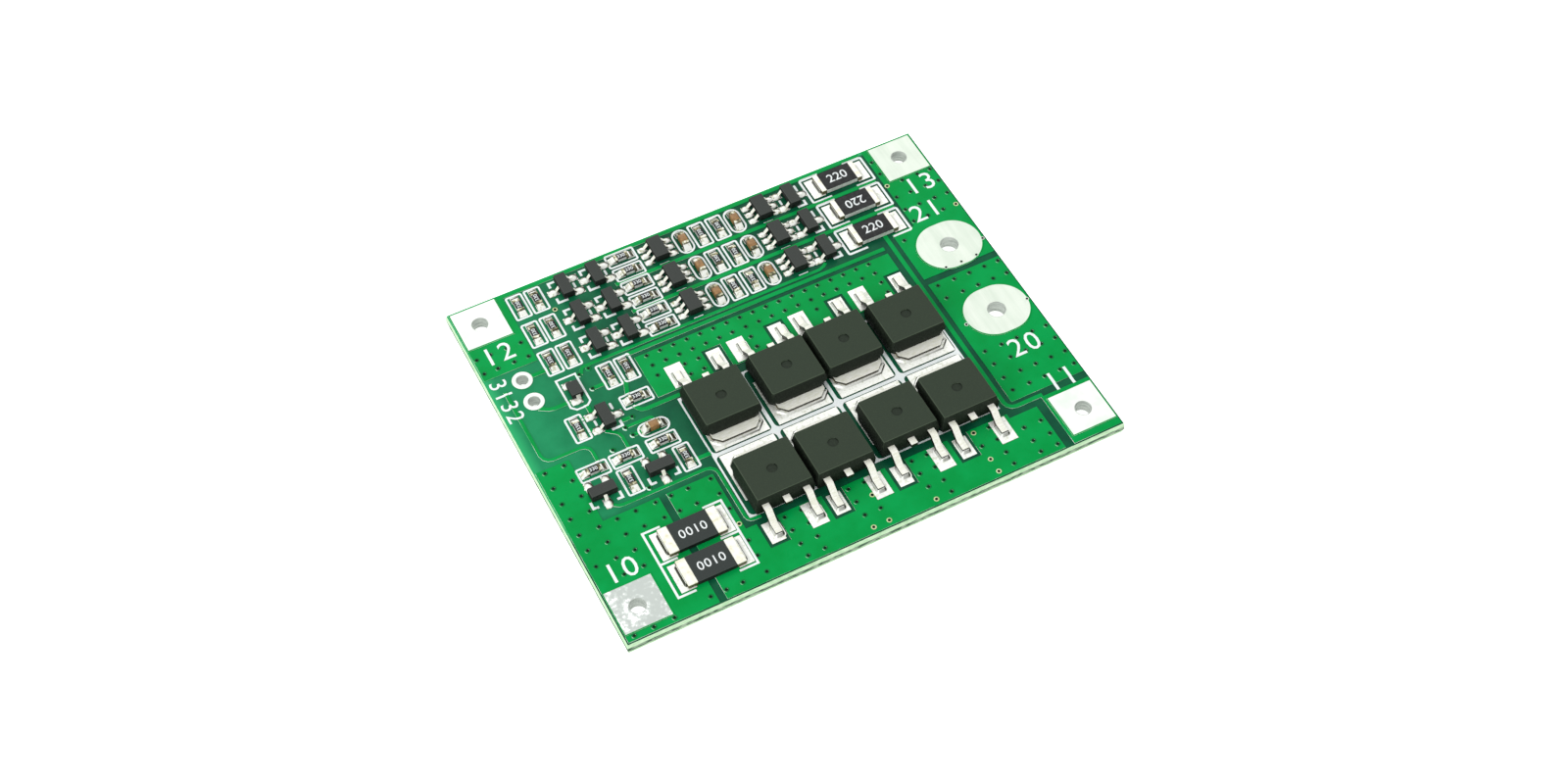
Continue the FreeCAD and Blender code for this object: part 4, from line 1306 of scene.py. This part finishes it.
def finish_solder(name, heaps, finish):
    """Joins heaps into one finished piece."""
    joints = shade(joined(name, heaps), 35)
    finish_piece(joints, finish)
    print(name, "heaps:", len(heaps), "triangles:", triangles(joints))


# %% Solder the chips and capacitors
CHIP_HALF, LAND_BEYOND = 0.8, 0.24  # half a chip's length, and where its solder's middle is
chip_slopes = [solder_slope((0.85, 0.92)), solder_slope((0.78, 0.84), (0.30, 0.74), 0.34, -0.22)]
chip_end = soften(joined("chip_end", chip_slopes), 0.03)
tall_slopes = [solder_slope((0.85, 0.95)), solder_slope((0.80, 0.90), (0.26, 0.80), 0.5, -0.24)]
capacitor_end = soften(joined("capacitor_end", tall_slopes), 0.05)
heaps = []
for parts, end in ((chips, chip_end), (capacitors, capacitor_end)):
    for low, high in parts:
        middle = (low + high) / 2
        for side in (-1, 1):
            away = side * (CHIP_HALF + LAND_BEYOND)
            if lies_along_x(low, high):
                x, y, turn = middle.x + away, middle.y, 0 if side > 0 else 180
            else:
                x, y, turn = middle.x, middle.y + away, 90 * side
            heaps.append(copy_at(end, x, y, turn, FACE))
remove(chip_end, capacitor_end)
print("heaps:", len(heaps))

# %% Solder the small leads
small_drop = joined("small_drop", [solder_slope((1.0, 0.66)), solder_dome(1.15, 0.84, 0.28)])
large_drop = joined("large_drop", [solder_slope((1.2, 0.86)), solder_dome(1.35, 1.0, 0.3)])
six_cases = [box_in_mm(f"{chip}_case") for chip in SIX_LEAD_CHIPS]
six_leads = [lead for chip in SIX_LEAD_CHIPS for lead in loose_pieces(f"{chip}_leads")]
few_cases = trios + [box_in_mm("diode_body")]
few_leads = loose_pieces("small_transistor_leads") + loose_pieces("diode_leads")
for leads, cases, drop, inwards in (
    (six_leads, six_cases, soften(small_drop, 0.02), 0.08),
    (few_leads, few_cases, soften(large_drop, 0.02), -0.05),
):
    for low, high in leads:
        middle = (low + high) / 2
        centres = [(case_low + case_high) / 2 for case_low, case_high in cases]
        away = middle - min(centres, key=lambda centre: (centre - middle).length)
        axis = 0 if lies_along_x(low, high) else 1
        foot = middle.copy()
        foot[axis] = high[axis] - inwards if away[axis] > 0 else low[axis] + inwards
        heaps.append(copy_at(drop, foot.x, foot.y, 90 * axis, FACE))
remove(small_drop, large_drop)
finish_solder("small_solder_joints", heaps, small_solder)

# %% Solder the power transistors
LEAD_OFFSET = 2.286  # from the middle of the transistor
LEAD_INWARDS, TAB_INWARDS = 0.55, 0.3  # from the ends of the metal frame
lead_collar = meniscus(1.36, 1.98, 0.4, [(0.12, 0.02), (0.22, 0.27)])
tab_collar = meniscus(6.0, 1.2, 0.85, [(0.13, 0.15), (0.17, 0.02)], 1, True)
heaps = []
for number in range(1, 9):
    low, high = box_in_mm(f"power_transistor_{number}_frame")
    case_low, case_high = box_in_mm(f"power_transistor_{number}_case")
    x = (case_low.x + case_high.x) / 2
    in_back_row = number < 5
    lead_y = high.y - LEAD_INWARDS if in_back_row else low.y + LEAD_INWARDS
    for side in (-1, 1):
        heaps.append(copy_at(lead_collar, x + side * LEAD_OFFSET, lead_y, 0, LAND))
    tab_y, turn = (low.y + TAB_INWARDS, 0) if in_back_row else (high.y - TAB_INWARDS, 180)
    heaps.append(copy_at(tab_collar, x, tab_y, turn, LAND))
remove(lead_collar, tab_collar)
print("heaps:", len(heaps))

# %% Solder the large resistors
shunt_heap = meniscus(1.4, 3.2, 0.5, [(0.12, 0.03), (0.15, 0.06), (0.17, 0.36)])
balance_heap = meniscus(1.3, 2.5, 0.45, [(0.10, 0.03), (0.14, 0.06), (0.16, 0.30)])
HEAP_INWARDS = 0.2
for name, heap in (
    ("shunt_resistor_1_ends", shunt_heap),
    ("shunt_resistor_2_ends", shunt_heap),
    ("balance_resistor_ends", balance_heap),
):
    row_low, row_high = box_in_mm(name)
    for low, high in loose_pieces(name):
        middle = (low + high) / 2
        at_right = middle.x > (row_low.x + row_high.x) / 2
        x, turn = (high.x - HEAP_INWARDS, 0) if at_right else (low.x + HEAP_INWARDS, 180)
        heaps.append(copy_at(heap, x, middle.y, turn, LAND))
remove(shunt_heap, balance_heap)
finish_solder("power_solder_joints", heaps, solder)

# %% [markdown]
# ### Codes on the resistors
#
# The resistors carry a plain number in white. Each one stands a hair above the coat.

# %% Write the codes
codes = [number_mark("0010", 1.05, -16.8, y, spacing=1.08, bold=0.01) for y in (-13.99, -18.08)]
for number, (low, high) in enumerate(loose_pieces("balance_resistor_coats")):
    middle = (low + high) / 2
    turn = 180 if number == 1 else 0
    codes.append(number_mark("220", 1.15, middle.x, middle.y, turn, bold=0.012))
chip_code = number_mark("330", 0.44, 0, 0, bold=0.008)
for low, high in chips:
    middle = (low + high) / 2
    turn = 0 if lies_along_x(low, high) else 90
    codes.append(copy_at(chip_code, middle.x, middle.y, turn))
remove(chip_code)
COATS = (
    "shunt_resistor_1_body",
    "shunt_resistor_2_body",
    "balance_resistor_coats",
    "chip_resistor_coats",
)
coats = joined("coats", [from_node(name, name + "_top") for name in COATS])
resistor_codes = press_down(joined("resistor_codes", codes), coats, 0.014)
finish_piece(resistor_codes, ink)
remove(coats)
print("codes:", len(codes))

# %% [markdown]
# ## Last look at the size
#
# The dressed board has to stay within the CAD solids' box. Its box is printed here, in mm.

# %% Print the dressed box
low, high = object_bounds()
print("dressed box in mm:", [round(value / MM, 3) for value in (*low, *high)])
